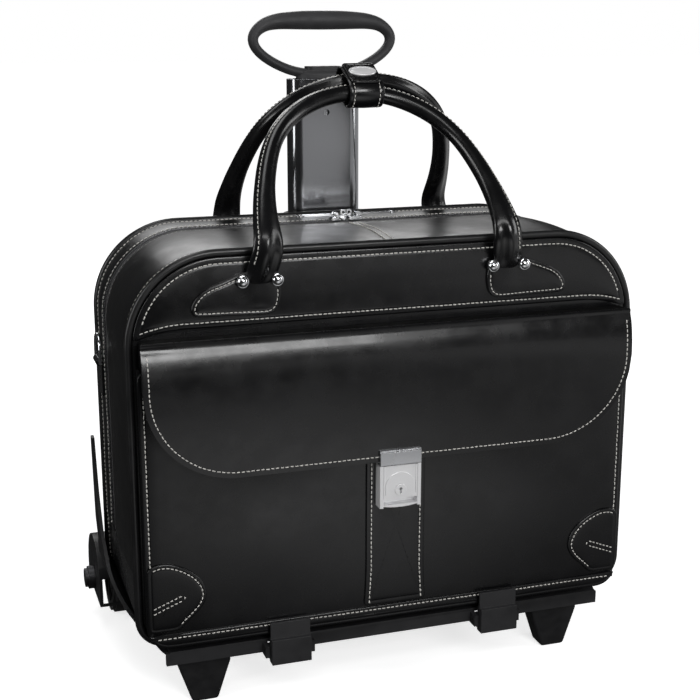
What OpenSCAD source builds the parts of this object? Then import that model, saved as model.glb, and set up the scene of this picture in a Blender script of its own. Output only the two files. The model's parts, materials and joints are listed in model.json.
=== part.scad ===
// Rolling laptop case: a leather briefcase standing in a wheeled trolley with a telescoping post.
// Units are millimetres. X runs left to right seen from the front, Y runs to the back, Z is up.
// The origin is on the floor, under the middle of the whole footprint.

/* [Case] */
// overall width of the case across its side gussets
case_width = 440; // [420:1:460]
// depth of the case from the front panel to the back panel
case_depth = 170; // [160:1:180]
// height of the case from its base to its top edge
case_height = 328; // [320:1:340]
// radius of the two top corners of the panels
top_corner_radius = 76; // [60:1:90]
// radius of the two bottom corners of the panels
base_corner_radius = 26; // [20:1:28]
// thickness of the leather covered front and back panels
panel_thickness = 4; // [3:0.5:4]
// thickness of the gusset that joins the panels
gusset_thickness = 3; // [2:0.5:3.5]
// radius of the piping round each panel
piping_radius = 3.2; // [2.8:0.1:3.4]

/* [Flap and lock] */
// width of the front flap
flap_width = 420; // [380:1:424]
// height of the flap from its hinge to its lower edge
flap_drop = 110; // [106:1:114]
// radius of the two lower corners of the flap
flap_corner_radius = 75; // [40:1:80]
// forward bulge of the flap at mid height
flap_bulge = 5; // [3:0.5:7]
// width of the lock
lock_width = 36; // [32:1:40]

/* [Carry handles] */
// distance between the two roots of one handle
handle_spread = 199; // [195:1:205]
// radius of the round handle
handle_radius = 7; // [6:0.5:7.5]
// height of the handle tops above the floor
handle_top = 503; // [490:1:510]

/* [Trolley] */
// width of the visible post tube
post_width = 68; // [60:1:72]
// depth of the visible post tube
post_depth = 24; // [22:1:26]
// height of the post tube above the floor as posed
post_top = 505; // [480:1:510]
// width of the loop grip
grip_width = 141; // [130:1:150]
// radius of the rolling wheels
wheel_radius = 36; // [34:1:38]
// width of each wheel
wheel_width = 22; // [18:1:24]
// radius of the wheel axles
axle_radius = 4; // [3:0.5:5]

/* [Hidden] */
$fn = 96;
hinge_gap = 0.05;
half_w = case_width / 2;
half_d = case_depth / 2;
base_z = 59;
top_z = base_z + case_height;
leather_black = [0.05, 0.05, 0.055];
leather_edge = [0.10, 0.10, 0.11];
cloth_dark = [0.16, 0.16, 0.17];
plastic_dark = [0.08, 0.08, 0.09];
rubber_dark = [0.13, 0.13, 0.14];
chrome_light = [0.82, 0.83, 0.85];
steel_light = [0.62, 0.63, 0.66];

// layers in front of and behind the two panels, measured from the middle of the case
panel_inset = 2 * piping_radius;
piping_y = half_d - 2;
gusset_y = piping_y - piping_radius - 0.1;
gusset_inset = 3;
yoke_low = 325;
yoke_thickness = 2;
yoke_y = half_d + yoke_thickness;
tab_thickness = 4;
tab_y = yoke_y + tab_thickness;
pocket_half = half_w - 8;
pocket_low = base_z + 3;
pocket_mouth = 296;
pocket_y = half_d + 9;
pocket_skin = 2;
pocket_foot = piping_y + piping_radius + 0.2;
pocket_inset = 2 * piping_radius - 2.8;
band_top = base_z + 15;
layer = 2.2;
layer_y = pocket_y + layer;

// zip line round the upper gusset
zip_y = 38;
zip_half = 6.5;
zip_teeth_half = 1.6;
zip_end = 120;
zip_top = top_z - 2;
slider_rest = 8;

// flap hinge and lock
hinge_z = 316;
hinge_y = half_d + 16;
hinge_radius = 3;
flap_low = hinge_z - flap_drop;
flap_skin = 2.3;
flap_y = half_d + 17.5;
lock_half = lock_width / 2;
lock_low = 166;
lock_z = 181;
lock_split = 203.2;
lock_wall = 3;
lock_back = layer_y + 2.4;
slider_front = half_d + 22;
slide_travel = 5;
cylinder_radius = 5;
running_gap = 0.06;

// handle roots and arches
root_x = handle_spread / 2;
root_wall = 1.4;
root_inner = handle_radius + 1.9;
root_outer = root_inner + root_wall;
root_y = tab_y + root_outer - 1;
root_low = top_z - 20.5;
root_top = top_z - 5;
rivet_z = top_z - 26;
rivet_radius = 4.5;
bend_z = top_z + 7;
handle_shift = 7;
keeper_tilt = 27;
apex_gap = handle_radius + 3;
apex_y = apex_gap * cos(keeper_tilt);
apex_step = apex_gap * sin(keeper_tilt);
arch_crown = 90;
arch_overlap = 0.6;
keeper_half = 15;
keeper_y = apex_gap + handle_radius + 3;
keeper_z = handle_radius + 3.2;
keeper_skin = 2;
keeper_rise = keeper_z + keeper_skin;
keeper_pad = 2.2;

// trolley
cradle_gap = 2.5;
cradle_skin = 3;
cradle_in = half_w + cradle_gap;
cradle_out = cradle_in + cradle_skin;
cradle_low = base_z - 3;
cradle_corner = base_corner_radius + 3;
cradle_front = half_d + 5;
lip_low = 44;
back_y = half_d + 3;
back_skin = 3;
sleeve_wall = 1.6;
sleeve_width = post_width + 6;
sleeve_depth = post_depth + 5;
sleeve_low = 74;
sleeve_top = top_z - 7;
collar_top = sleeve_top + 3;
post_y = back_y + back_skin + sleeve_depth / 2 + 0.5;
post_wall = 1.6;
post_low = 188;
inner_width = post_width - 6;
inner_depth = post_depth - 6;
inner_low = 194;
rod_radius = 3;
hub_half = 18;
hub_top = post_top + 8;
button_half = 17;
button_travel = 4.5;
grip_half = grip_width / 2;
button_seat = post_top + 1.5;
grip_low = post_top + 1;
grip_top = post_top + 60;
grip_bar = 17;
grip_arm = 8;
grip_depth = 16;
axle_y = back_y + 40;
housing_radius = wheel_radius + 6;
housing_wall = 3;
housing_in = 187;
housing_out = 226;
wheel_x = 202;
hub_radius = wheel_radius - 10;
cap_radius = 11;
cap_length = 9;
bar_low = 38;
foot_x = 162;
foot_top_width = 45;
foot_low_width = 22;
foot_y = -66;
foot_depth = 20;
clip_x = 94;
clip_half = 17;
clip_y = half_d + 11;
clip_z = 47;
clip_radius = 7.5;
clip_pin = 2;

// the footprint runs from the front handle roots to the back of the wheel housings
case_y = (root_y + root_outer - axle_y - housing_radius) / 2;

// name of the single sub-part to draw, or all of them

// moves a shape from the middle of the case into the frame of the whole object
module at_case() {
    translate([0, case_y, 0]) children();
}

// extrudes an upright XZ outline from y0 to y1
module along_y(y0, y1) {
    translate([0, y1, 0]) rotate([90, 0, 0]) linear_extrude(y1 - y0) children();
}

// extrudes a YZ outline from x0 to x1
module along_x(x0, x1) {
    translate([x0, 0, 0]) rotate([90, 0, 90]) linear_extrude(x1 - x0) children();
}

// draws its children on one side and again mirrored on the other
module both_sides() {
    children();
    mirror([1, 0, 0]) children();
}

// plain block between two corners
module block(low, high) {
    translate(low) cube(high - low);
}

// flat rectangle between two corners
module patch(low, high) {
    translate(low) square(high - low);
}

// long oval, wide in the first direction
module stadium(width, depth) {
    square([width - depth, depth], center = true);
    translate([(width - depth) / 2, 0]) circle(depth / 2);
    translate([(depth - width) / 2, 0]) circle(depth / 2);
}

// rectangle with round corners, centred
module round_rect(width, height, radius) {
    square([width - 2 * radius, height], center = true);
    square([width, height - 2 * radius], center = true);
    for (sx = [-1, 1]) {
        for (sy = [-1, 1]) {
            translate([sx * (width / 2 - radius), sy * (height / 2 - radius)]) circle(radius);
        }
    }
}

// outline of the case seen from the front, shrunk by an inset
module case_outline(inset) {
    x = half_w - inset;
    high = top_z - inset;
    low = base_z + inset;
    rt = top_corner_radius - inset;
    rb = base_corner_radius - inset;
    patch([-x, low + rb], [x, high - rt]);
    patch([rb - x, low], [x - rb, high - rt]);
    patch([rt - x, low + rb], [x - rt, high]);
    for (s = [-1, 1]) {
        translate([s * (x - rt), high - rt]) circle(rt);
        translate([s * (x - rb), low + rb]) circle(rb);
    }
}

// shell that follows the case outline between two insets
module outline_ring(outer, inner) {
    difference() {
        case_outline(outer);
        case_outline(inner);
    }
}

// round piping that follows the edge of a panel
module piping(y) {
    r = piping_radius;
    x = half_w - r;
    low = base_z + r;
    high = top_z - r;
    rt = top_corner_radius - r;
    rb = base_corner_radius - r;
    for (s = [-1, 1]) {
        translate([s * x, y, low + rb]) cylinder(r = r, h = high - rt - low - rb);
        translate([s * (x - rt), y, high - rt]) rotate([90, 0, 0]) rotate([0, 0, 45 - s * 45])
            rotate_extrude(angle = 90) translate([rt, 0]) circle(r);
        translate([s * (x - rb), y, low + rb]) rotate([90, 0, 0]) rotate([0, 0, s * 45 - 135])
            rotate_extrude(angle = 90) translate([rb, 0]) circle(r);
    }
    translate([rt - x, y, high]) rotate([0, 90, 0]) cylinder(r = r, h = 2 * (x - rt));
    translate([rb - x, y, low]) rotate([0, 90, 0]) cylinder(r = r, h = 2 * (x - rb));
}

module front_panel() {
    color(leather_black) at_case() along_y(-half_d, panel_thickness - half_d) case_outline(panel_inset);
}

module back_panel() {
    color(leather_black) at_case() along_y(half_d - panel_thickness, half_d) case_outline(panel_inset);
}

// upper layer of leather that covers the top of a panel
module yoke() {
    along_y(-yoke_y, -half_d) intersection() {
        case_outline(panel_inset);
        patch([-half_w, yoke_low], [half_w, top_z]);
    }
}

module front_yoke() {
    color(leather_black) at_case() yoke();
}

module back_yoke() {
    color(leather_black) at_case() mirror([0, 1, 0]) yoke();
}

module piping_front() {
    color(leather_edge) at_case() piping(-piping_y);
}

module piping_back() {
    color(leather_edge) at_case() piping(piping_y);
}

// part of the gusset ring above the end of the zip
module upper_ring(outer, inner) {
    intersection() {
        outline_ring(outer, inner);
        patch([-half_w, zip_end], [half_w, top_z]);
    }
}

module gusset_front() {
    color(leather_black) at_case() along_y(-gusset_y, zip_y - zip_half)
        upper_ring(gusset_inset, gusset_inset + gusset_thickness);
}

module gusset_back() {
    color(leather_black) at_case() along_y(zip_y + zip_half, gusset_y)
        upper_ring(gusset_inset, gusset_inset + gusset_thickness);
}

module gusset_base() {
    color(leather_black) at_case() along_y(-gusset_y, gusset_y) intersection() {
        outline_ring(gusset_inset, gusset_inset + gusset_thickness);
        patch([-half_w, base_z], [half_w, zip_end]);
    }
}

module zip_tapes() {
    color(cloth_dark) at_case() for (s = [-1, 1]) {
        middle = zip_y + s * (zip_half + zip_teeth_half) / 2;
        reach = (zip_half - zip_teeth_half) / 2;
        along_y(middle - reach, middle + reach) upper_ring(gusset_inset + 0.6, gusset_inset + 1.8);
    }
}

module zip_teeth() {
    color(steel_light) at_case() along_y(zip_y - zip_teeth_half, zip_y + zip_teeth_half)
        upper_ring(top_z - zip_top, gusset_inset + 2);
}

// stiff board that floors the main compartment
module base_board() {
    reach = half_w - base_corner_radius - 4;
    low = base_z + gusset_inset + gusset_thickness;
    color(cloth_dark) at_case() block([-reach, -gusset_y + 6, low], [reach, gusset_y - 6, low + 3]);
}

// padded wall between the laptop space and the papers
module laptop_divider() {
    low = base_z + gusset_inset + gusset_thickness + 3;
    reach = half_w - gusset_inset - gusset_thickness - 2;
    color(cloth_dark) at_case() along_y(16, 22) intersection() {
        case_outline(gusset_inset + gusset_thickness + 2);
        patch([-reach, low], [reach, 312]);
    }
}

// shallow pocket on the front panel, open at its mouth under the flap
module front_pocket() {
    color(leather_black) at_case() difference() {
        union() {
            along_y(-pocket_y, -pocket_foot) pocket_outline(0);
            along_y(-pocket_foot, -half_d) pocket_outline(pocket_inset);
        }
        along_y(-pocket_y + pocket_skin, 1 - half_d) pocket_inside();
    }
}

module pocket_outline(inset) {
    r = base_corner_radius - 8;
    x = pocket_half - inset;
    patch([-x, pocket_low + r], [x, pocket_mouth]);
    patch([r - x, pocket_low + inset], [x - r, pocket_mouth]);
    for (s = [-1, 1]) {
        translate([s * (x - r), pocket_low + r + inset]) circle(r);
    }
}

module pocket_inside() {
    wall = pocket_inset + pocket_skin + 0.4;
    pocket_outline(wall);
    patch([wall - pocket_half, pocket_mouth - 1], [pocket_half - wall, pocket_mouth + 1]);
}

module bottom_band() {
    color(leather_black) at_case() along_y(-layer_y, -pocket_y) intersection() {
        pocket_outline(0);
        patch([-half_w, base_z], [half_w, band_top]);
    }
}

module lock_strap() {
    color(leather_black) at_case() along_y(-layer_y, -pocket_y)
        polygon([[-28, band_top + 1], [28, band_top + 1], [26, 110], [26, 218], [-26, 218], [-26, 110]]);
}

// round topped patch with a slanted dart, on the lower left corner of the pocket
module corner_patch() {
    reach = 27;
    x = pocket_half - 24;
    z = band_top + 34;
    at_case() along_y(-layer_y, -pocket_y) difference() {
        union() {
            translate([-x, z]) circle(reach);
            patch([-pocket_half, band_top + 3], [-x, z + reach]);
        }
        patch([-half_w, base_z], [0, band_top + 3]);
        translate([-pocket_half, z - 12]) rotate(18) patch([-2, -0.6], [30, 0.6]);
    }
}

module corner_patch_left() {
    color(leather_black) corner_patch();
}

module corner_patch_right() {
    color(leather_black) mirror([1, 0, 0]) corner_patch();
}

// fixed strip that carries the hinge line of the flap
module flap_strip() {
    reach = flap_width / 2 - 2;
    color(leather_black) at_case() block([-reach, hinge_radius + hinge_gap - hinge_y, hinge_z - 2.5],
        [reach, -half_d, hinge_z + 2.5]);
}

// curved flap, hung from a round bead along its hinge line
module flap_panel() {
    r = (pow(flap_drop / 2, 2) + pow(flap_bulge, 2)) / (2 * flap_bulge);
    middle_z = (hinge_z + flap_low) / 2;
    middle_y = r - flap_y - flap_bulge;
    color(leather_black) at_case() difference() {
        intersection() {
            union() {
                along_x(-flap_width / 2, flap_width / 2) difference() {
                    translate([middle_y, middle_z]) circle(r, $fn = 180);
                    translate([middle_y, middle_z]) circle(r - flap_skin, $fn = 180);
                    patch([1.4 - hinge_y, 0], [2 * r, 2 * r]);
                    patch([-half_w, hinge_z + 0.5], [0, 2 * r]);
                }
                translate([-flap_width / 2, -hinge_y, hinge_z]) rotate([0, 90, 0])
                    cylinder(r = hinge_radius, h = flap_width);
            }
            along_y(-half_w, 0) flap_outline();
        }
        block([-5.4, -half_w, 203], [5.4, 0, 211.4]);
    }
}

module flap_outline() {
    x = flap_width / 2;
    r = flap_corner_radius;
    patch([-x, flap_low + r], [x, hinge_z + hinge_radius + 1]);
    patch([r - x, flap_low], [x - r, flap_low + 2 * r]);
    for (s = [-1, 1]) {
        translate([s * (x - r), flap_low + r]) circle(r);
    }
}

// mirror bright plate on the edge of the flap, with the staple that enters the lock
module hasp_plate() {
    face = half_d + 23;
    color(chrome_light) at_case() {
        difference() {
            block([-lock_half, -face, lock_split], [lock_half, 3.4 - face, 216]);
            block([-lock_half - 1, -face - 1, 214.5], [lock_half + 1, 0.8 - face, 217]);
        }
        block([-5, 3.4 - face, 204], [5, -layer_y - 0.8, 211]);
    }
}

// fixed back of the lock with its two side rails
module lock_frame() {
    color(steel_light) at_case() difference() {
        union() {
            block([-lock_half, -lock_back, lock_low], [lock_half, -layer_y, 214]);
            for (s = [-1, 1]) {
                middle = s * (lock_half - lock_wall / 2);
                block([middle - lock_wall / 2, -slider_front, lock_low],
                    [middle + lock_wall / 2, -lock_back, lock_split - 0.5]);
            }
            along_y(-slider_front, -lock_back) intersection() {
                patch([-lock_half, lock_low], [lock_half, lock_low + 2.5]);
                translate([0, lock_low + 80]) circle(80);
            }
        }
        block([-6, -half_w, 202.5], [6, 0, 212.5]);
    }
}

// sliding face of the lock, pressed down to let the hasp go
module lock_slider() {
    reach = lock_half - lock_wall - 0.2;
    low = lock_low + 2.5 + slide_travel + 0.3;
    color(steel_light) at_case() difference() {
        block([-reach, -slider_front, low], [reach, -lock_back - 0.2, lock_split - 1]);
        along_y(-slider_front - 1, 0.9 - slider_front) difference() {
            patch([1.5 - reach, low + 3], [reach - 1.5, lock_split]);
            translate([0, lock_split - 20]) circle(13);
            patch([-13, low], [13, lock_split - 20]);
        }
        translate([0, -lock_back, lock_z]) rotate([90, 0, 0]) cylinder(r = cylinder_radius + running_gap, h = 40);
    }
}

module lock_cylinder() {
    color(chrome_light) at_case() difference() {
        translate([0, -lock_back - 0.3, lock_z]) rotate([90, 0, 0])
            cylinder(r = cylinder_radius, h = slider_front - lock_back + 0.7);
        translate([0, 4 - slider_front, lock_z + 1]) rotate([90, 0, 0]) cylinder(r = 1.3, h = 9);
        block([-0.6, -slider_front - 2, lock_z - 3.2], [0.6, 4 - slider_front, lock_z + 1]);
    }
}

// leather tab of one handle root: plate, tail and the sleeve round the handle end
module handle_tab() {
    low = top_z - 53;
    difference() {
        union() {
            along_y(-tab_y, -yoke_y) {
                patch([-root_x - 26, low], [12 - root_x, top_z - 19]);
                translate([-root_x - 53.5, low + 8]) circle(8);
                polygon([[-root_x - 53.5, low], [-root_x - 25, low], [-root_x - 25, low + 31],
                    [-root_x - 40, low + 25], [-root_x - 58, low + 14.6]]);
            }
            translate([-root_x, -root_y, root_low]) cylinder(r = root_outer, h = root_top - root_low);
        }
        translate([-root_x, -root_y, root_low - 1]) cylinder(r = root_inner, h = root_top - root_low + 2);
    }
}

// each handle sits a little to the left as seen from its own side of the case
module at_handle(turn) {
    at_case() rotate([0, 0, turn]) translate([-handle_shift, 0, 0]) children();
}

module tab_front_left() {
    color(leather_black) at_handle(0) handle_tab();
}

module tab_front_right() {
    color(leather_black) at_handle(0) mirror([1, 0, 0]) handle_tab();
}

module tab_back_left() {
    color(leather_black) at_handle(180) mirror([1, 0, 0]) handle_tab();
}

module tab_back_right() {
    color(leather_black) at_handle(180) handle_tab();
}

// eight domed rivets, two on each handle tab
module tab_rivets() {
    color(chrome_light) for (turn = [0, 180]) {
        at_handle(turn) for (x = [-root_x - 20.5, -root_x + 7.5, root_x - 7.5, root_x + 20.5]) {
            translate([x, -tab_y, rivet_z]) rotate([90, 0, 0]) intersection() {
                cylinder(r = rivet_radius, h = 4);
                translate([0, 0, -3]) sphere(r = 6);
            }
        }
    }
}

// leather loop on the side gusset that holds a ring
module side_tab() {
    x = half_w - gusset_inset;
    at_case() difference() {
        union() {
            block([-x - 2.4, 53, 237], [-x, 71, 268]);
            translate([-x - 3.6, 53, 268]) rotate([-90, 0, 0]) cylinder(r = 3.6, h = 18);
        }
        translate([-x - 3.6, 50, 268]) rotate([-90, 0, 0]) cylinder(r = 1.9, h = 24);
    }
}

module side_tab_left() {
    color(leather_black) side_tab();
}

module side_tab_right() {
    color(leather_black) mirror([1, 0, 0]) side_tab();
}

// D shaped wire ring: a straight bar in the loop and a round bow above it
module side_ring() {
    x = half_w - gusset_inset + 3.6;
    wire = 1.8;
    at_case() translate([-x, 62, 268]) {
        translate([0, -13, 0]) rotate([-90, 0, 0]) cylinder(r = wire, h = 26);
        for (s = [-1, 1]) {
            translate([0, s * 13, 0]) sphere(r = wire);
            translate([0, s * 13, 0]) cylinder(r = wire, h = 10);
        }
        translate([0, 0, 10]) rotate([90, 0, 90]) rotate_extrude(angle = 180) translate([13, 0]) circle(wire);
    }
}

module side_ring_left() {
    color(chrome_light) side_ring();
}

module side_ring_right() {
    color(chrome_light) mirror([1, 0, 0]) side_ring();
}

// body of the left zip slider with its bail and padlock eye
module zip_slider() {
    low = zip_top + 0.1;
    at_case() translate([-slider_rest, zip_y, low]) {
        difference() {
            union() {
                block([-6, -4.5, 0], [6, 4.5, 3]);
                for (s = [-1, 1]) {
                    block([-4.5, s * 2.6 - 0.7, 3], [-0.5, s * 2.6 + 0.7, 7]);
                }
            }
            translate([-2.5, -5, 4.9]) rotate([-90, 0, 0]) cylinder(r = 1.06, h = 10);
        }
        difference() {
            block([3, -0.9, 3], [7.5, 0.9, 9]);
            translate([5.4, -2, 6.2]) rotate([-90, 0, 0]) cylinder(r = 1.5, h = 4);
        }
    }
}

module zip_slider_left() {
    color(chrome_light) zip_slider();
}

module zip_slider_right() {
    color(chrome_light) mirror([1, 0, 0]) zip_slider();
}

// long pull of the left slider, turning on a cross pin
module zip_pull() {
    low = zip_top + 0.1;
    at_case() translate([-slider_rest - 2.5, zip_y, low + 4.9]) {
        translate([0, -3.2, 0]) rotate([-90, 0, 0]) cylinder(r = 1, h = 6.4);
        difference() {
            union() {
                block([-30, -1.7, -0.9], [0, 1.7, 0.9]);
                translate([-32, 0, -0.9]) cylinder(r = 4, h = 1.8);
            }
            translate([-32, 0, -2]) cylinder(r = 1.6, h = 4);
        }
    }
}

module zip_pull_left() {
    color(chrome_light) zip_pull();
}

module zip_pull_right() {
    color(chrome_light) mirror([1, 0, 0]) zip_pull();
}

// one carry handle: straight ends in the root sleeves and a three centred arch leaning inwards;
// the cover is a touch slimmer along the two side arcs and fuller at the bends
module carry_handle(apex_z) {
    lean = atan2(root_y - apex_y, apex_z - bend_z);
    rise = norm([root_y - apex_y, apex_z - bend_z]) - arch_crown;
    side = (pow(root_x, 2) + pow(rise, 2) - pow(arch_crown, 2)) / (2 * (root_x - arch_crown));
    turn = atan2(rise, side - root_x);
    side_radius = handle_radius - 0.1;
    bend_radius = handle_radius + 0.15;
    for (s = [-1, 1]) {
        translate([s * root_x, -root_y, root_low + 1]) cylinder(r = handle_radius, h = bend_z - root_low - 1);
        translate([s * root_x, -root_y, bend_z]) sphere(r = bend_radius);
    }
    translate([0, -root_y, bend_z]) rotate([90 - lean, 0, 0]) {
        for (s = [0, 1]) {
            mirror([s, 0, 0]) translate([root_x - side, 0, 0])
                rotate_extrude(angle = turn + arch_overlap) translate([side, 0]) circle(side_radius);
        }
        translate([0, rise, 0]) rotate([0, 0, turn])
            rotate_extrude(angle = 180 - 2 * turn) translate([arch_crown, 0]) circle(handle_radius);
    }
}

// the front handle is drawn down a little further than the rear one
module handle_front() {
    color(leather_black) at_handle(0) carry_handle(handle_top - apex_step);
}

module handle_back() {
    color(leather_black) at_handle(180) carry_handle(handle_top + apex_step);
}

module at_keeper() {
    at_case() translate([0, 0, handle_top]) rotate([keeper_tilt, 0, 0]) children();
}

// leather ring that ties the two handles together, with the snap stud on top
module keeper_band() {
    color(leather_black) at_keeper() {
        along_x(-keeper_half, keeper_half) difference() {
            round_rect(2 * (keeper_y + keeper_skin), 2 * keeper_rise, 8);
            round_rect(2 * keeper_y, 2 * keeper_z, 6);
        }
        translate([0, 0, keeper_rise]) cylinder(r = 3.4, h = 1.4);
    }
}

// outer end of the keeper, lifted off its stud about its rear edge
module keeper_flap() {
    pivot = keeper_y - 5;
    low = keeper_rise + 0.1;
    color(leather_black) at_keeper() difference() {
        union() {
            block([1 - keeper_half, -pivot, low], [keeper_half - 1, pivot, low + keeper_pad]);
            translate([1 - keeper_half, pivot, low + keeper_pad / 2]) rotate([0, 90, 0])
                cylinder(r = keeper_pad / 2, h = 2 * keeper_half - 2);
        }
        translate([0, 0, keeper_rise - 1]) cylinder(r = 4.4, h = 2.8);
    }
}

module keeper_plate() {
    color(chrome_light) at_keeper() translate([0, 0, keeper_rise + 0.1 + keeper_pad]) linear_extrude(1.8)
        stadium(24, 14);
}

// side view of the cradle wings: low at the front, sweeping up behind the case
module wing_outline() {
    polygon([[-cradle_front, lip_low], [back_y, lip_low], [back_y, 92], [back_y + 12, 110], [back_y + 20, 185],
        [back_y + 14, 184], [half_d + 3, 138], [68, 104], [22, 76], [-28, 60], [-70, 54], [-cradle_front, 53]]);
}

// wrap of sheet under the case, turned down at the front and up at both sides
module cradle() {
    r = cradle_corner;
    color(plastic_dark) at_case() {
        intersection() {
            along_y(-cradle_front, back_y + 22) difference() {
                cradle_outline(cradle_out, cradle_low - cradle_skin, r + cradle_skin);
                cradle_outline(cradle_in, cradle_low, r);
                patch([-half_w - 50, 190], [half_w + 50, 400]);
            }
            union() {
                along_x(-cradle_out - 1, 1 - cradle_in + r) wing_outline();
                along_x(cradle_in - r - 1, cradle_out + 1) wing_outline();
                block([r - cradle_in, -cradle_front, lip_low], [cradle_in - r, back_y, 80]);
            }
        }
        difference() {
            block([r - cradle_out, -cradle_front, lip_low], [cradle_out - r, 4 - cradle_front, cradle_low - 1]);
            for (s = [-1, 1]) {
                block([s * clip_x - clip_half - 1, -cradle_front - 1, lip_low - 1],
                    [s * clip_x + clip_half + 1, 5 - cradle_front, cradle_low - cradle_skin]);
            }
        }
        for (x = [-clip_x, clip_x]) {
            for (s = [-1, 1]) {
                clip_ear(x + s * (clip_half + 2.3));
            }
        }
    }
}

module cradle_outline(x, low, r) {
    patch([-x, low + r], [x, 200]);
    patch([r - x, low], [x - r, 200]);
    for (s = [-1, 1]) {
        translate([s * (x - r), low + r]) circle(r);
    }
}

// ear that holds one end of a clip pin
module clip_ear(x) {
    difference() {
        block([x - 2, -clip_y - 4, lip_low - 1], [x + 2, 1 - cradle_front, cradle_low - cradle_skin]);
        translate([x - 3, -clip_y, clip_z]) rotate([0, 90, 0]) cylinder(r = clip_pin + running_gap, h = 6);
    }
}

// moulded plate behind the case: wide at the wheels, narrow where it backs the post
module back_plate() {
    wide = half_w - 4;
    color(plastic_dark) at_case() along_y(back_y, back_y + back_skin)
        polygon([[-wide, bar_low], [wide, bar_low], [wide, 130], [120, 170], [46, 300], [46, sleeve_top - 4],
            [-46, sleeve_top - 4], [-46, 300], [-120, 170], [-wide, 130]]);
}

// screws that hold the back plate on the wheel bar
module plate_screws() {
    color(steel_light) at_case() for (x = [-150, -60, 60, 150]) {
        translate([x, back_y - 1.6, 60]) rotate([-90, 0, 0]) difference() {
            cylinder(r = 4, h = 1.6);
            translate([0, 0, -1]) cylinder(r = 1.6, h = 2, $fn = 6);
        }
    }
}

module post_sleeve() {
    color(plastic_dark) at_case() translate([0, post_y, sleeve_low]) linear_extrude(sleeve_top - sleeve_low)
        difference() {
            stadium(sleeve_width, sleeve_depth);
            stadium(sleeve_width - 2 * sleeve_wall, sleeve_depth - 2 * sleeve_wall);
        }
}

// collar in the mouth of the sleeve that guides the tube
module post_collar() {
    color(rubber_dark) at_case() translate([0, post_y, 0]) difference() {
        union() {
            translate([0, 0, sleeve_top]) linear_extrude(collar_top - sleeve_top)
                stadium(sleeve_width + 2, sleeve_depth);
            translate([0, 0, sleeve_top - 14]) linear_extrude(14)
                stadium(sleeve_width - 2 * sleeve_wall - 0.1, sleeve_depth - 2 * sleeve_wall - 0.1);
        }
        translate([0, 0, sleeve_top - 15]) linear_extrude(40) stadium(post_width + 0.12, post_depth + 0.12);
    }
}

// hollow crossbar that joins the two wheel housings under the post
module wheel_bar() {
    y0 = back_y + back_skin;
    color(plastic_dark) at_case() difference() {
        block([-housing_in, y0, bar_low], [housing_in, axle_y + 6, sleeve_low]);
        block([3 - housing_in, y0 + 3, bar_low - 1], [housing_in - 3, axle_y + 3, sleeve_low - 3]);
        for (s = [-1, 1]) {
            translate([s * (housing_in - 2) - 10, axle_y, wheel_radius]) rotate([0, 90, 0])
                cylinder(r = axle_radius + running_gap, h = 20);
        }
    }
}

// shells over the two wheels, open below and behind
module wheel_housings() {
    color(plastic_dark) at_case() both_sides() difference() {
        along_x(housing_in + 0.1, housing_out) intersection() {
            translate([axle_y, wheel_radius]) circle(housing_radius);
            patch([back_y + back_skin, 20], [axle_y + 100, 200]);
        }
        along_x(housing_in - 1, housing_out - housing_wall) union() {
            translate([axle_y, wheel_radius]) circle(housing_radius - housing_wall);
            patch([axle_y, 10], [axle_y + 100, wheel_radius]);
        }
        translate([housing_in - 1, axle_y, wheel_radius]) rotate([0, 90, 0])
            cylinder(r = axle_radius + running_gap, h = 60);
    }
}

// two steel axles, each with a round cap outside its housing
module wheel_axles() {
    color(steel_light) at_case() both_sides() {
        translate([housing_in - 10, axle_y, wheel_radius]) rotate([0, 90, 0])
            cylinder(r = axle_radius, h = housing_out + 1 - housing_in + 10);
        translate([housing_out + 0.2, axle_y, wheel_radius]) rotate([0, 90, 0]) {
            cylinder(r = cap_radius, h = cap_length - 3);
            translate([0, 0, cap_length - 3]) cylinder(r = cap_radius - 2, h = 3);
        }
    }
}

// wheel with a rubber tread, five windows and a bored hub
module wheel(x) {
    at_case() translate([x - wheel_width / 2, axle_y, wheel_radius]) rotate([0, 90, 0]) difference() {
        union() {
            cylinder(r = wheel_radius - 2, h = wheel_width);
            translate([0, 0, 3]) cylinder(r = wheel_radius, h = wheel_width - 6);
        }
        translate([0, 0, -1]) cylinder(r = axle_radius + running_gap, h = wheel_width + 2);
        for (side = [-1, wheel_width - 5]) {
            translate([0, 0, side]) difference() {
                cylinder(r = hub_radius, h = 6);
                translate([0, 0, -1]) cylinder(r = axle_radius + 5, h = 8);
                for (a = [0:72:359]) {
                    rotate(a) translate([0, -2.5, -1]) cube([hub_radius + 1, 5, 8]);
                }
            }
        }
    }
}

module wheel_left() {
    color(rubber_dark) wheel(-wheel_x);
}

module wheel_right() {
    color(rubber_dark) wheel(wheel_x);
}

// wedge shaped foot under the front of the cradle
module foot(x) {
    top = cradle_low - cradle_skin;
    at_case() along_y(foot_y - foot_depth / 2, foot_y + foot_depth / 2) translate([x, 0])
        polygon([[-foot_low_width / 2, 0], [foot_low_width / 2, 0], [foot_top_width / 2, 34],
            [foot_top_width / 2, top], [-foot_top_width / 2, top], [-foot_top_width / 2, 34]]);
}

module foot_left() {
    color(plastic_dark) foot(-foot_x);
}

module foot_right() {
    color(plastic_dark) foot(foot_x);
}

// swinging catch with its own pin, its tab standing in front of the case
module base_clip(x) {
    at_case() {
        along_x(x - clip_half, x + clip_half) translate([-clip_y, clip_z]) {
            circle(clip_radius);
            patch([-9, -9], [0, 13]);
            patch([-5, 12], [-2.4, band_top - clip_z]);
        }
        translate([x - clip_half - 4, -clip_y, clip_z]) rotate([0, 90, 0]) cylinder(r = clip_pin, h = 2 * clip_half + 8);
    }
}

module base_clip_left() {
    color(plastic_dark) base_clip(-clip_x);
}

module base_clip_right() {
    color(plastic_dark) base_clip(clip_x);
}

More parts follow.
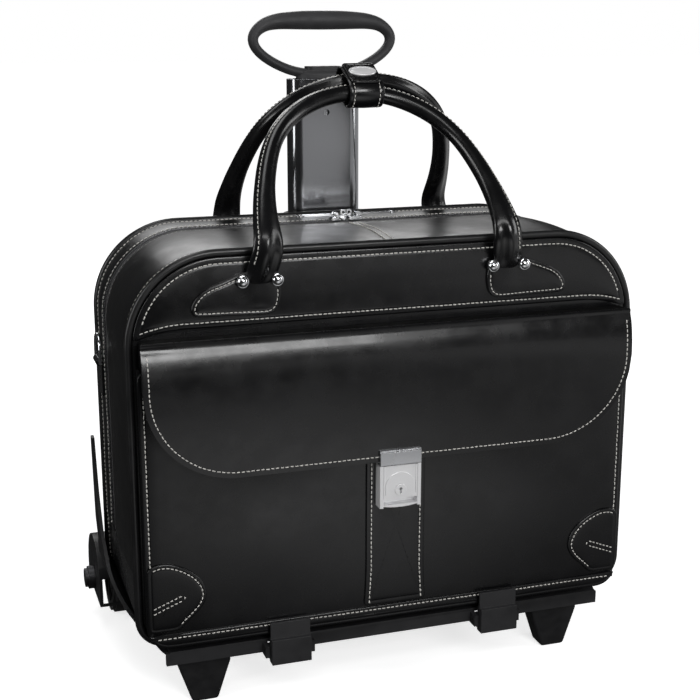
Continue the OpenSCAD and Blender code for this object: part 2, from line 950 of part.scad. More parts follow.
// visible outer stage of the post, with a row of detent holes in its front
module post_tube() {
    color(chrome_light) at_case() translate([0, post_y, 0]) difference() {
        translate([0, 0, post_low]) linear_extrude(post_top - post_low) difference() {
            stadium(post_width, post_depth);
            stadium(post_width - 2 * post_wall, post_depth - 2 * post_wall);
        }
        for (z = [post_low + 40, post_top - 30]) {
            translate([0, 0, z]) rotate([90, 0, 0]) cylinder(r = 2.6, h = post_depth);
        }
    }
}

// inner stage that slides out of the tube and carries the grip
module inner_post() {
    color(steel_light) at_case() translate([0, post_y, inner_low]) linear_extrude(post_top - inner_low)
        difference() {
            stadium(inner_width, inner_depth);
            stadium(inner_width - 2 * post_wall, inner_depth - 2 * post_wall);
        }
}

// upright outline of the hand loop, between an upper and a lower curve
module loop_outline(inset_low, inset_high, reach, tip) {
    intersection() {
        translate([0, grip_low + 80]) circle(80 - inset_low);
        translate([0, grip_top - 170]) circle(170 - inset_high);
        patch([-reach, grip_low - 10], [reach, grip_top + 10]);
    }
    for (s = [-1, 1]) {
        translate([s * (grip_half - tip - (inset_low > 0 ? grip_arm + 2 : 0)), grip_low + 37]) circle(tip);
    }
}

// hand loop moulded in one with the neck that caps the post
module grip_loop() {
    color(rubber_dark) at_case() translate([0, post_y, 0]) difference() {
        union() {
            along_y(-grip_depth / 2, grip_depth / 2) difference() {
                loop_outline(0, 0, grip_half - 11, 13);
                loop_outline(grip_arm, grip_bar, grip_half - 19, 5);
            }
            translate([0, 0, post_top + 0.2]) linear_extrude(hub_top - post_top) stadium(2 * hub_half + 14, post_depth + 3);
        }
        translate([0, 0, button_seat]) linear_extrude(40) stadium(2 * button_half + 0.6, 14.6);
        translate([0, 0, post_top - 1]) cylinder(r = rod_radius + 0.4, h = 10);
    }
}

// button in the neck and the rod it pushes down inside the post
module release_button() {
    color(plastic_dark) at_case() translate([0, post_y, 0]) {
        translate([0, 0, button_seat + button_travel + 0.5]) linear_extrude(4.5) stadium(2 * button_half, 14);
        translate([0, 0, inner_low + 10]) cylinder(r = rod_radius, h = button_seat + 7 - inner_low - 10);
    }
}

front_panel();
back_panel();
front_yoke();
back_yoke();
piping_front();
piping_back();
gusset_front();
gusset_back();
gusset_base();
zip_tapes();
zip_teeth();
base_board();
laptop_divider();
front_pocket();
bottom_band();
lock_strap();
corner_patch_left();
corner_patch_right();
flap_strip();
lock_frame();
tab_front_left();
tab_front_right();
tab_back_left();
tab_back_right();
tab_rivets();
side_tab_left();
side_tab_right();
side_ring_left();
side_ring_right();
flap_panel();
hasp_plate();
lock_slider();
lock_cylinder();
zip_slider_left();
zip_slider_right();
zip_pull_left();
zip_pull_right();
handle_front();
handle_back();
keeper_band();
keeper_flap();
keeper_plate();
cradle();
back_plate();
plate_screws();
post_sleeve();
post_collar();
wheel_bar();
foot_left();
foot_right();
base_clip_left();
base_clip_right();
wheel_housings();
wheel_axles();
wheel_left();
wheel_right();
post_tube();
inner_post();
grip_loop();
release_button();
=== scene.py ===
import json
import math
import random

import bmesh
import bpy
import numpy as np
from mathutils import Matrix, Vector


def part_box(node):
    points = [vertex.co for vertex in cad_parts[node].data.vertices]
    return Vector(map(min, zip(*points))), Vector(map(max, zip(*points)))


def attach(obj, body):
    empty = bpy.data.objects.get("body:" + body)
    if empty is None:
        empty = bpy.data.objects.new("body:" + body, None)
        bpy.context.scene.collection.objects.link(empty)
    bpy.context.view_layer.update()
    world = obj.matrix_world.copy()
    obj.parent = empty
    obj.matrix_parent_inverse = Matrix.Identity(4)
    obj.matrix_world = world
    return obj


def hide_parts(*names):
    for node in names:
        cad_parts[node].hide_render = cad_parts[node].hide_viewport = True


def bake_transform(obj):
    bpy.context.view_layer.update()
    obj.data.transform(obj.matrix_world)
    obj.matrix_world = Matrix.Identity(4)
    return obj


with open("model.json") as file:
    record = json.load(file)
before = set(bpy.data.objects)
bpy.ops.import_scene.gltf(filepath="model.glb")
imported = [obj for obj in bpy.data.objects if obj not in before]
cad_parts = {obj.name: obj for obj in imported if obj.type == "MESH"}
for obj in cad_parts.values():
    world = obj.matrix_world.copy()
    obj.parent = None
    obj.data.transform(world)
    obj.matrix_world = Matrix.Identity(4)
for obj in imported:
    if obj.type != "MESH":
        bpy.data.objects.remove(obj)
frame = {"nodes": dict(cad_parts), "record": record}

random.seed(7)
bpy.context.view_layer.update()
LO = {n: [v * 1000 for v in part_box(n)[0]] for n in frame["nodes"]}
HI = {n: [v * 1000 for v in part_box(n)[1]] for n in frame["nodes"]}
CASE_Y = (LO["front_panel"][1] + HI["back_panel"][1]) / 2
HALF_D = (HI["back_panel"][1] - LO["front_panel"][1]) / 2
HALF_W = (HI["piping_front"][0] - LO["piping_front"][0]) / 2
BASE_Z = LO["piping_front"][2]
TOP_Z = HI["piping_front"][2]
TOP_R, LOW_R = 76, 26  # corners of the case, above and below


# ---------------------------------------------------------------- materials

class Nodes:
    """Small helper that adds shader nodes to one material."""

    def __init__(self, name):
        self.mat = bpy.data.materials.new(name)
        self.mat.use_nodes = True
        self.tree = self.mat.node_tree
        self.tree.nodes.clear()
        self.out = self.add("OutputMaterial")
        self.bsdf = self.add("BsdfPrincipled")
        self.link(self.bsdf, 0, self.out, 0)
        self.coord = self.add("TexCoord")
        self.height = None

    def add(self, kind):
        return self.tree.nodes.new("ShaderNode" + kind)

    def link(self, a, i, b, j):
        self.tree.links.new(a.outputs[i], b.inputs[j])

    def distance(self, place):
        """Distance of the shaded point from a place."""
        node = self.add("VectorMath")
        node.operation = "DISTANCE"
        node.inputs[1].default_value = place
        self.link(self.coord, "Object", node, 0)
        return node

    def mapping(self, scale):
        node = self.add("Mapping")
        node.inputs["Scale"].default_value = scale
        self.link(self.coord, "Object", node, "Vector")
        return node

    def noise(self, scale, detail=3.0, rough=0.5, stretch=(1, 1, 1)):
        node = self.add("TexNoise")
        node.inputs["Scale"].default_value = scale
        node.inputs["Detail"].default_value = detail
        node.inputs["Roughness"].default_value = rough
        self.link(self.mapping(stretch), 0, node, "Vector")
        return node

    def voronoi(self, scale):
        node = self.add("TexVoronoi")
        node.feature = "SMOOTH_F1"
        node.inputs["Scale"].default_value = scale
        self.link(self.mapping((1, 1, 1)), 0, node, "Vector")
        return node

    def wave(self, scale, direction, distort=0.0):
        node = self.add("TexWave")
        node.bands_direction = direction
        node.inputs["Scale"].default_value = scale
        node.inputs["Distortion"].default_value = distort
        self.link(self.mapping((1, 1, 1)), 0, node, "Vector")
        return node

    def ramp(self, source, output, low, high, start=0.3, end=0.7):
        node = self.add("MapRange")
        node.inputs["From Min"].default_value = start
        node.inputs["From Max"].default_value = end
        node.inputs["To Min"].default_value = low
        node.inputs["To Max"].default_value = high
        self.link(source, output, node, "Value")
        return node

    def bump(self, source, output, strength, distance):
        node = self.add("Bump")
        node.inputs["Strength"].default_value = strength
        node.inputs["Distance"].default_value = distance
        self.link(source, output, node, "Height")
        if self.height is not None:
            self.link(self.height, 0, node, "Normal")
        self.height = node

    def colour(self, source, output, dark, light, start=0.35, end=0.65):
        node = self.add("Mix")
        node.data_type = "RGBA"
        node.inputs[6].default_value = (*dark, 1)
        node.inputs[7].default_value = (*light, 1)
        self.link(self.ramp(source, output, 0, 1, start, end), 0, node, 0)
        self.link(node, 2, self.bsdf, "Base Color")
        return node

    def edges(self, mix, light):
        """Worn, paler convex edges on top of a colour mix."""
        geo = self.add("NewGeometry")
        node = self.add("Mix")
        node.data_type = "RGBA"
        node.inputs[7].default_value = (*light, 1)
        self.link(mix, 2, node, 6)
        self.link(self.ramp(geo, "Pointiness", 0, 0.5, 0.53, 0.62), 0, node, 0)
        self.link(node, 2, self.bsdf, "Base Color")

    def done(self, metallic=0.0, coat=0.0, coat_rough=0.1, sheen=0.0):
        if self.height is not None:
            self.link(self.height, 0, self.bsdf, "Normal")
        self.bsdf.inputs["Metallic"].default_value = metallic
        self.bsdf.inputs["Coat Weight"].default_value = coat
        self.bsdf.inputs["Coat Roughness"].default_value = coat_rough
        self.bsdf.inputs["Sheen Weight"].default_value = sheen
        return self.mat


def leather_material(name, base, rough_low, rough_high, coat, grain, shine=0.5):
    n = Nodes(name)
    broad = n.noise(14, 2.0)
    mix = n.colour(broad, 0, [c * 0.8 for c in base], [c * 1.3 for c in base])
    n.edges(mix, [c * 3 + 0.01 for c in base])
    smudge = n.noise(55, 4.0)
    n.link(n.ramp(smudge, 0, rough_low, rough_high), 0, n.bsdf, "Roughness")
    n.bump(broad, 0, 0.35, 0.0014)
    n.bump(n.noise(70, 3.0), 0, 0.12, 0.0004)
    n.bump(n.voronoi(1500), 0, grain, 0.00012)
    n.bump(n.noise(2600, 2.0), 0, grain * 0.6, 0.00006)
    n.bsdf.inputs["Specular IOR Level"].default_value = shine
    return n.done(0, coat, 0.07)


def metal_material(name, base, rough_low, rough_high, stretch, scratch, metallic=1.0):
    n = Nodes(name)
    n.colour(n.noise(12, 2.0), 0, [c * 0.95 for c in base], base)
    n.link(n.ramp(n.noise(30, 2.0), 0, rough_low, rough_high), 0, n.bsdf, "Roughness")
    n.bump(n.noise(900, 2.0, 0.6, stretch), 0, scratch, 0.00004)
    return n.done(metallic)


def moulded_material(name, base, rough_low, rough_high, texture, sheen):
    n = Nodes(name)
    mix = n.colour(n.noise(30, 4.0), 0, [c * 0.85 for c in base], [c * 1.2 for c in base])
    n.edges(mix, [c * 2.2 + 0.01 for c in base])
    n.link(n.ramp(n.noise(120, 4.0), 0, rough_low, rough_high), 0, n.bsdf, "Roughness")
    n.bump(n.voronoi(1300), 0, texture, 0.00012)
    n.bump(n.noise(3200, 2.0), 0, texture, 0.00006)
    return n.done(0, 0, 0.1, sheen)


def cloth_material(name, base):
    n = Nodes(name)
    across = n.wave(650, "X", 0.6)
    along = n.wave(650, "Z", 0.6)
    n.colour(across, 0, [c * 0.6 for c in base], [c * 1.5 for c in base])
    n.bsdf.inputs["Roughness"].default_value = 0.85
    n.bump(across, 0, 0.5, 0.0002)
    n.bump(along, 0, 0.5, 0.0002)
    n.bump(n.noise(900, 2.0), 0, 0.2, 0.0001)
    return n.done(0, 0, 0.1, 0.25)


def thread_material(name, base):
    n = Nodes(name)
    n.colour(n.noise(300, 2.0), 0, [c * 0.75 for c in base], base)
    n.bsdf.inputs["Roughness"].default_value = 0.6
    n.bump(n.wave(900, "DIAGONAL", 1.0), 0, 0.5, 0.0001)
    return n.done(0, 0, 0.1, 0.2)


JET = (0.0035, 0.0035, 0.004)
MATS = {
    "leather": leather_material("box_leather", JET, 0.2, 0.32, 0.15, 0.08),
    "piping": leather_material("piping_leather", (0.008, 0.008, 0.0085), 0.28, 0.42, 0.1, 0.2),
    "cloth": cloth_material("lining_cloth", (0.02, 0.02, 0.022)),
    "chrome": metal_material("chrome", (0.83, 0.84, 0.86), 0.05, 0.13, (1, 1, 1), 0.15),
    "steel": metal_material("satin_steel", (0.62, 0.63, 0.65), 0.2, 0.32, (12, 1, 1), 0.5),
    "plastic": moulded_material("moulded_plastic", (0.012, 0.012, 0.013), 0.38, 0.55, 0.3, 0.0),
    "rubber": moulded_material("grip_rubber", (0.028, 0.028, 0.03), 0.5, 0.68, 0.4, 0.1),
    "thread": thread_material("contrast_thread", (0.84, 0.82, 0.77)),
    "post": metal_material("post_chrome", (0.34, 0.345, 0.36), 0.15, 0.18, (1, 1, 30), 0.04),
    "teeth": metal_material("zip_teeth_metal", (0.1, 0.1, 0.105), 0.35, 0.5, (1, 1, 1), 0.3),
    "lock": metal_material("lock_metal", (0.9, 0.9, 0.91), 0.34, 0.42, (12, 1, 1), 0.2, 0.35),
    # painted shade: a darker leather that hardly reflects, so the hinge strip reads as the shaded hollow at
    # the fold
    "fold": leather_material("fold_leather_painted_shade", (0.003, 0.003, 0.003), 0.55, 0.7, 0.0, 0.1, 0.08),
    "gusset": leather_material("gusset_leather", JET, 0.3, 0.4, 0.04, 0.08, 0.4),
}


# ---------------------------------------------------------------- mesh helpers
# Points are millimetres, x and z in the frame, y measured from the middle of the case.


def build(name, verts, faces, body, mat, replaces=(), smooth=35):
    v = np.array(verts, float).reshape(-1, 3)
    v[:, 1] += CASE_Y
    mesh = bpy.data.meshes.new(name)
    mesh.from_pydata((v / 1000).tolist(), [], [list(map(int, f)) for f in faces])
    mesh.update()
    work = bmesh.new()
    work.from_mesh(mesh)
    bmesh.ops.recalc_face_normals(work, faces=work.faces)
    work.to_mesh(mesh)
    work.free()
    mesh.polygons.foreach_set("use_smooth", [True] * len(mesh.polygons))
    if smooth:
        mesh.set_sharp_from_angle(angle=math.radians(smooth))
    mesh.materials.append(MATS[mat])
    obj = bpy.data.objects.new(name, mesh)
    bpy.context.scene.collection.objects.link(obj)
    if body:
        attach(obj, body)
    if replaces:
        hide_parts(*replaces)
    return obj


def unit(a):
    a = np.asarray(a, float)
    return a / np.maximum(np.linalg.norm(a, axis=-1, keepdims=True), 1e-9)


def resample(path, step, closed=False):
    p = np.asarray(path, float)
    if closed:
        p = np.vstack([p, p[:1]])
    seg = np.linalg.norm(np.diff(p, axis=0), axis=1)
    s = np.concatenate([[0], np.cumsum(seg)])
    count = max(3, int(round(s[-1] / step)) + (0 if closed else 1))
    t = np.linspace(0, s[-1], count, endpoint=not closed)
    return np.stack([np.interp(t, s, p[:, k]) for k in range(p.shape[1])], 1)


def soften(path, passes, closed=False):
    """Rounds the bends of a path, keeping its two ends."""
    p = np.array(path, float)
    for _ in range(passes):
        q = (np.roll(p, 1, 0) + 2 * p + np.roll(p, -1, 0)) / 4
        if not closed:
            q[0], q[-1] = p[0], p[-1]
        p = q
    return p


def arc(cx, cz, r, a0, a1, step=3.0):
    n = max(2, int(abs(math.radians(a1 - a0)) * r / step) + 1)
    a = np.radians(np.linspace(a0, a1, n))
    return np.stack([cx + r * np.cos(a), cz + r * np.sin(a)], 1)


def round_box(x0, z0, x1, z1, low_r, top_r, step=4.0):
    """Counter-clockwise outline with its own radii below and above."""
    parts = [arc(x1 - low_r, z0 + low_r, low_r, -90, 0), arc(x1 - top_r, z1 - top_r, top_r, 0, 90),
             arc(x0 + top_r, z1 - top_r, top_r, 90, 180), arc(x0 + low_r, z0 + low_r, low_r, 180, 270)]
    return resample(np.vstack(parts), step, True)


def inset(outline, d):
    t = unit(np.roll(outline, -1, 0) - np.roll(outline, 1, 0))
    return outline + d * np.stack([-t[:, 1], t[:, 0]], 1)


def skin(rings, closed_path=False, caps=True):
    """Faces over equal rings of points, stacked one after another."""
    rows, n = len(rings), len(rings[0])
    verts = np.vstack(rings)
    faces = []
    last = rows if closed_path else rows - 1
    for i in range(last):
        a, b = i * n, ((i + 1) % rows) * n
        for k in range(n):
            k1 = (k + 1) % n
            faces.append((a + k, a + k1, b + k1, b + k))
    if caps and not closed_path:
        faces.append(tuple(range(n - 1, -1, -1)))
        faces.append(tuple((rows - 1) * n + k for k in range(n)))
    return verts, faces


def path_frames(path, start, closed=False):
    p = np.asarray(path, float)
    t = unit(np.roll(p, -1, 0) - np.roll(p, 1, 0)) if closed else unit(np.gradient(p, axis=0))
    normals = np.zeros_like(p)
    n = np.asarray(start, float)
    for i in range(len(p)):
        n = n - np.dot(n, t[i]) * t[i]
        n = n / np.linalg.norm(n)
        normals[i] = n
    return t, normals, np.cross(t, normals)


def tube(path, section, start, closed=False, scale=None):
    """Sweeps a section of (n, b) points along a path; scale gives (n, b) factors at each point."""
    p = np.asarray(path, float)
    _, n, b = path_frames(p, start, closed)
    sec = np.asarray(section, float)
    rings = []
    for i in range(len(p)):
        sn, sb = scale[i] if scale is not None else (1, 1)
        rings.append(p[i] + sec[:, :1] * sn * n[i] + sec[:, 1:2] * sb * b[i])
    return skin(rings, closed)


def circle(r, count=24, rb=None):
    a = np.linspace(0, 2 * math.pi, count, endpoint=False)
    return np.stack([r * np.cos(a), (rb or r) * np.sin(a)], 1)


def join(parts):
    verts, faces, base = [], [], 0
    for v, f in parts:
        verts.append(np.asarray(v, float))
        faces += [tuple(i + base for i in face) for face in f]
        base += len(v)
    return np.vstack(verts), faces


def edge_distance(points, outline):
    """Distance from each (x, z) point to a closed outline."""
    a, b = outline, np.roll(outline, -1, 0)
    ab = b - a
    ap = points[:, None, :] - a[None]
    t = np.clip((ap * ab).sum(2) / np.maximum((ab ** 2).sum(1), 1e-9), 0, 1)
    return np.sqrt(((ap - t[:, :, None] * ab) ** 2).sum(2).min(1))


def pad(outline, y, side, height, soft=1.5, reach=28, groove=0.35, line=5.0, edge=1.0,
        bulge=None, centre=None, rows=14):
    """Padded slab on the plane y, growing to side -1 (front) or 1 (back), rounded at its rim and
    pressed in along a stitched line."""
    near_line = [line + shift for shift in (-1.3, -.8, -.4, 0, .4, .8, 1.4)]
    steps = sorted({0, .15, .4, .8, 1.4, *near_line})
    flat = [(outline, 0.0)] + [(inset(outline, d), None) for d in steps]
    last = flat[-1][0]
    c = np.array(centre) if centre is not None else last.mean(0)
    flat += [(c + (last - c) * (1 - (k / rows) ** 1.25), None) for k in range(1, rows)]
    rings = []
    for ring, h in flat:
        if h is None:
            d = edge_distance(ring, outline)
            h = height - soft * (1 - np.minimum(d / reach, 1)) ** 2
            h = h - groove * np.exp(-((d - line) / 0.7) ** 2)
            h = h - np.where(d < edge, edge - np.sqrt(np.maximum(edge ** 2 - (edge - d) ** 2, 0)), 0)
        lift = h + (bulge(ring[:, 0], ring[:, 1]) if bulge else 0)
        rings.append(np.stack([ring[:, 0], y + side * (lift + np.zeros(len(ring))), ring[:, 1]], 1))
    verts, faces = skin(rings, caps=False)
    n = len(outline)
    mid = np.array([[c[0], rings[-1][:, 1].mean(), c[1]]])
    verts = np.vstack([verts, mid])
    m, top = len(verts) - 1, (len(rings) - 1) * n
    faces += [(top + k, top + (k + 1) % n, m) for k in range(n)]
    faces.append(tuple(range(n - 1, -1, -1)))
    return verts, faces


def on_plane(path, y, bulge=None, side=-1):
    """Lifts an (x, z) path to the plane y plus a bulge, with its normals."""
    p = np.asarray(path, float)
    lift = bulge(p[:, 0], p[:, 1]) if bulge else np.zeros(len(p))
    pts = np.stack([p[:, 0], y + side * lift, p[:, 1]], 1)
    return pts, np.tile([0.0, side, 0.0], (len(p), 1))


def stitches(name, runs, body, pitch=4.0, length=3.1, r=0.5):
    """One mesh of thread stitches along the runs of (points, normals). A station is a place along a
    stitch, its fatness and its height over the leather."""
    sides, stations = 6, ((0, .3, -.45), (.12, .9, .1), (.5, 1.0, .3), (.88, .9, .1), (1, .3, -.45))
    verts, faces = [], []
    for pts, nor in runs:
        seg = np.linalg.norm(np.diff(pts, axis=0), axis=1)
        s = np.concatenate([[0], np.cumsum(seg)])
        count = max(1, int(s[-1] / pitch))
        step = s[-1] / count
        for i in range(count):
            a = i * step + (step - length) / 2 + random.uniform(-.12, .12)
            base = len(verts)
            rows = []
            for f, fat, up in stations:
                at = min(max(a + f * length, 0), s[-1])
                c = np.array([np.interp(at, s, pts[:, k]) for k in range(3)])
                n = unit(np.array([np.interp(at, s, nor[:, k]) for k in range(3)]))
                rows.append((c + n * up, n, fat))
            t = unit(rows[-1][0] - rows[0][0])
            skew = random.uniform(-.1, .1)
            for c, n, fat in rows:
                b = np.cross(t, n)
                for k in range(sides):
                    w = 2 * math.pi * k / sides
                    verts.append(c + r * fat * (math.cos(w) * n * 0.8 + math.sin(w) * b) + b * skew)
            for q in range(len(stations) - 1):
                for k in range(sides):
                    k1 = (k + 1) % sides
                    o = base + q * sides
                    faces.append((o + k, o + k1, o + sides + k1, o + sides + k))
            faces.append(tuple(base + k for k in range(sides - 1, -1, -1)))
            faces.append(tuple(base + (len(stations) - 1) * sides + k for k in range(sides)))
    return build(name, verts, faces, body, "thread", smooth=0)


def solid_sheet(grid, thick, normal_sign=1):
    """Closed sheet from a (rows, cols, 3) grid, thickened along its normals."""
    g = np.asarray(grid, float)
    du, dv = np.gradient(g, axis=0), np.gradient(g, axis=1)
    n = unit(np.cross(du, dv)) * normal_sign
    rows, cols = g.shape[:2]
    top, low = g.reshape(-1, 3), (g - n * thick).reshape(-1, 3)
    verts = np.vstack([top, low])
    off = rows * cols
    faces = []
    for i in range(rows - 1):
        for k in range(cols - 1):
            a, d = i * cols + k, (i + 1) * cols + k
            b, c = a + 1, d + 1
            faces.append((a, d, c, b))
            faces.append((a + off, b + off, c + off, d + off))
    ring = list(range(cols)) + [(i + 1) * cols - 1 for i in range(1, rows)]
    ring += [(rows - 1) * cols + k for k in range(cols - 2, -1, -1)]
    ring += [i * cols for i in range(rows - 2, 0, -1)]
    for k in range(len(ring)):
        a, b = ring[k], ring[(k + 1) % len(ring)]
        faces.append((a, b, b + off, a + off))
    if normal_sign < 0:
        faces = [f[::-1] for f in faces]
    return verts, faces


def ripple(x, z, size, scale, seed):
    """Slow unevenness of hand worked leather."""
    return size * (np.sin(x / scale + seed) * np.cos(z / (scale * 0.7) + seed * 2.1)
                   + 0.5 * np.sin(x / (scale * 0.43) + z / (scale * 0.6) + seed * 3.3))


def band_normals(path2d):
    """Outward normals of an (x, z) path that runs left, over the top, to the right."""
    t = unit(np.gradient(path2d, axis=0))
    return np.stack([-t[:, 1], np.zeros(len(t)), t[:, 0]], 1)


# ---------------------------------------------------------------- panels and piping

EDGE = 6.4                  # the panels stop this far inside the rim
CORD_IN, CORD_R = 3.2, 3.1  # the piping runs this far inside the rim
PANEL_T = 4
YOKE_SUNK, YOKE_T, YOKE_MID_Z = 0.6, 2.6, 352
OUTLINE = round_box(EDGE - HALF_W, BASE_Z + EDGE, HALF_W - EDGE, TOP_Z - EDGE, LOW_R - EDGE, TOP_R - EDGE, 4)
SEAM_Z = LO["front_yoke"][2]


def panel_bulge(x, z):
    return ripple(x, z, 0.35, 62, 1.0)


def seam_z(x):
    """Height of the yoke seam, dipping towards its two ends."""
    return SEAM_Z - 8 * np.clip((np.abs(x) - 172) / 42, 0, 1) ** 2


def yoke_outline():
    x, r = HALF_W - EDGE, TOP_R - EDGE
    low = [(v, seam_z(v)) for v in np.linspace(-x, x, 90)]
    top = [arc(x - r, TOP_Z - EDGE - r, r, 8, 90), arc(r - x, TOP_Z - EDGE - r, r, 90, 172)]
    return soften(resample(np.vstack([low] + top), 2.6, True), 4, True)


def stitched_line(outline, d, keep):
    """Parts of the inset outline whose points satisfy keep, as open runs."""
    ring = inset(outline, d)
    ok = keep(ring[:, 0], ring[:, 1])
    start = int(np.argmin(ok)) if not ok.all() else 0
    ring, ok = np.roll(ring, -start, 0), np.roll(ok, -start)
    runs, now = [], []
    for p, good in zip(ring, ok):
        if good:
            now.append(p)
        elif now:
            runs.append(np.array(now))
            now = []
    if now:
        runs.append(np.array(now))
    return [r for r in runs if len(r) > 3]


def make_face(side, name):
    """Panel, yoke, piping and stitching of the front (side -1) or the back (side 1)."""
    v, f = pad(OUTLINE, side * (HALF_D - PANEL_T), side, PANEL_T, 1.6, 28, bulge=panel_bulge)
    build(f"{name}_panel_leather", v, f, "case", "leather", [f"{name}_panel"])
    yoke = yoke_outline()
    y = side * (HALF_D - YOKE_SUNK)
    v, f = pad(yoke, y, side, YOKE_T, 1.4, 24, bulge=panel_bulge, centre=(0, YOKE_MID_Z))
    build(f"{name}_yoke_leather", v, f, "case", "leather", [f"{name}_yoke"])
    x = HALF_W - CORD_IN
    rim = round_box(-x, BASE_Z + CORD_IN, x, TOP_Z - CORD_IN, LOW_R - CORD_IN, TOP_R - CORD_IN, 3.5)
    path = np.stack([rim[:, 0], np.full(len(rim), side * (HALF_D - 2.0)), rim[:, 1]], 1)
    v, f = tube(path, circle(CORD_R, 14), (0, side, 0), closed=True)
    build(f"piping_{name}_cord", v, f, "case", "piping", [f"piping_{name}"], smooth=0)
    runs = []
    for line in stitched_line(yoke, 5.0, lambda x, z: z > SEAM_Z + 5):
        runs.append(on_plane(line, side * (HALF_D + 0.95), panel_bulge, side))
    low = np.array([(x, seam_z(x) + 4.6) for x in np.linspace(-208, 208, 120)])
    runs.append(on_plane(low, side * (HALF_D + 1.1), panel_bulge, side))
    if name == "back":
        for line in stitched_line(OUTLINE, 5.0, lambda x, z: z < 318):
            runs.append(on_plane(line, side * (HALF_D - 1.2), panel_bulge, side))
    stitches(f"{name}_yoke_stitching", runs, "case")


make_face(-1, "front")
make_face(1, "back")


# ---------------------------------------------------------------- gusset and zip

ZIP_LOW = LO["zip_teeth"][2]
ZIP_Y = (LO["zip_teeth"][1] + HI["zip_teeth"][1]) / 2 - CASE_Y
ZIP_HALF = 6.5                       # half the gap between the front and the rear gusset
SIDE_Y = 79.7                        # the gussets end here, under the piping
SEAM_FRONT, SEAM_BACK = -73.5, 74.5  # depths of the outer seams
GUSSET_T, GUSSET_STEP = 2.4, 4.0     # thickness, spacing of the points along a gusset


def upper_path(d, step=GUSSET_STEP):
    """Up the left side from the foot of the zip, over the top and down the right side, inset by d."""
    x, top, r = HALF_W - d, TOP_Z - d, TOP_R - d
    corners = [arc(r - x, top - r, r, 180, 90), arc(x - r, top - r, r, 90, 0)]
    return resample(np.vstack([[(-x, ZIP_LOW)], *corners, [(x, ZIP_LOW)]]), step)


def lower_path(d):
    """Down the left side from the foot of the zip, under the case and up the right side."""
    x, low, r = HALF_W - d, BASE_Z + d, LOW_R - d
    corners = [arc(r - x, low + r, r, 180, 270), arc(x - r, low + r, r, 270, 360)]
    return resample(np.vstack([[(-x, ZIP_LOW)], *corners, [(x, ZIP_LOW)]]), GUSSET_STEP)


def sheet_over(path, out, ys, lift):
    """Grid of points along an (x, z) path and across the depths ys, lifted along the normals out."""
    grid = np.zeros((len(path), len(ys), 3))
    grid[:, :, 0] = path[:, None, 0] + out[:, None, 0] * lift
    grid[:, :, 1] = ys
    grid[:, :, 2] = path[:, None, 1] + out[:, None, 2] * lift
    return grid


def seam_run(grid, ys, at, out):
    """Stitch run along a sheet at one depth."""
    line = grid[:, int(np.argmin(np.abs(ys - at)))].copy()
    line[:, 1] = at
    return line, out


def gusset(node, y0, y1, crown, seams):
    """Leather band beside the zip, swelling between its seams. Gives its stitch runs and its grid."""
    path = upper_path(CORD_IN)
    out = band_normals(path)
    ys = np.linspace(y0, y1, 19)
    t = (ys - y0) / (y1 - y0)
    swell = crown * np.sin(np.pi * t) ** 0.8
    edge = 0.5 * (np.exp(-t * 40) + np.exp(-(1 - t) * 40))
    lift = np.outer(np.ones(len(path)), swell - edge)
    along = np.arange(len(path)) * GUSSET_STEP
    lift += ripple(along[:, None], ys[None, :], 0.35, 30, 2.0) * np.sin(np.pi * t)[None, :]
    lift[np.abs(path[:, 0]) < 5] -= 0.5
    grid = sheet_over(path, out, ys, lift)
    v, f = solid_sheet(grid, GUSSET_T)
    build(f"{node}_leather", v, f, "case", "gusset", [node])
    return [seam_run(grid, ys, at, out) for at in seams], grid


def make_upper_gussets():
    zip_front, zip_back = ZIP_Y - ZIP_HALF, ZIP_Y + ZIP_HALF
    runs, grid = gusset("gusset_front", -SIDE_Y, zip_front, 2.6, (SEAM_FRONT, zip_front - 3))
    back_runs, _ = gusset("gusset_back", zip_back, SIDE_Y, 0.8, (zip_back + 3, SEAM_BACK))
    for shift in (-3.2, 3.2):
        line = grid[len(grid) // 2, 1:-1] + np.array([shift, 0, 0.4])
        runs.append((line, np.tile([0.0, 0, 1.0], (len(line), 1))))
    stitches("gusset_stitching", runs + back_runs, "case")


def make_base_gusset():
    path = lower_path(CORD_IN)
    out = -band_normals(path)
    ys = np.linspace(-SIDE_Y, SIDE_Y, 25)
    t = (ys + SIDE_Y) / (2 * SIDE_Y)
    fade = np.clip((path[:, 1] - 80) / 40, 0, 1)
    lift = np.outer(fade, 2.2 * np.sin(np.pi * t) ** 0.8) - 0.3
    grid = sheet_over(path, out, ys, lift)
    v, f = solid_sheet(grid, GUSSET_T, -1)
    build("gusset_base_leather", v, f, "case", "leather", ["gusset_base"])
    runs = [seam_run(grid, ys, at, out) for at in (SEAM_FRONT, SEAM_BACK)]
    stitches("gusset_base_stitching", runs, "case")


def make_zip_tapes():
    path = upper_path(3.7, 3.0)
    out = band_normals(path)
    lift = 0.25 * np.cos(np.linspace(0, math.pi, 6))
    halves = []
    for s in (-1, 1):
        ys = ZIP_Y + s * np.linspace(1.0, ZIP_HALF + 1.0, 6)
        halves.append(solid_sheet(sheet_over(path, out, ys, lift), 0.8, s))
    v, f = join(halves)
    build("zip_tapes_cloth", v, f, "case", "cloth", ["zip_tapes"])


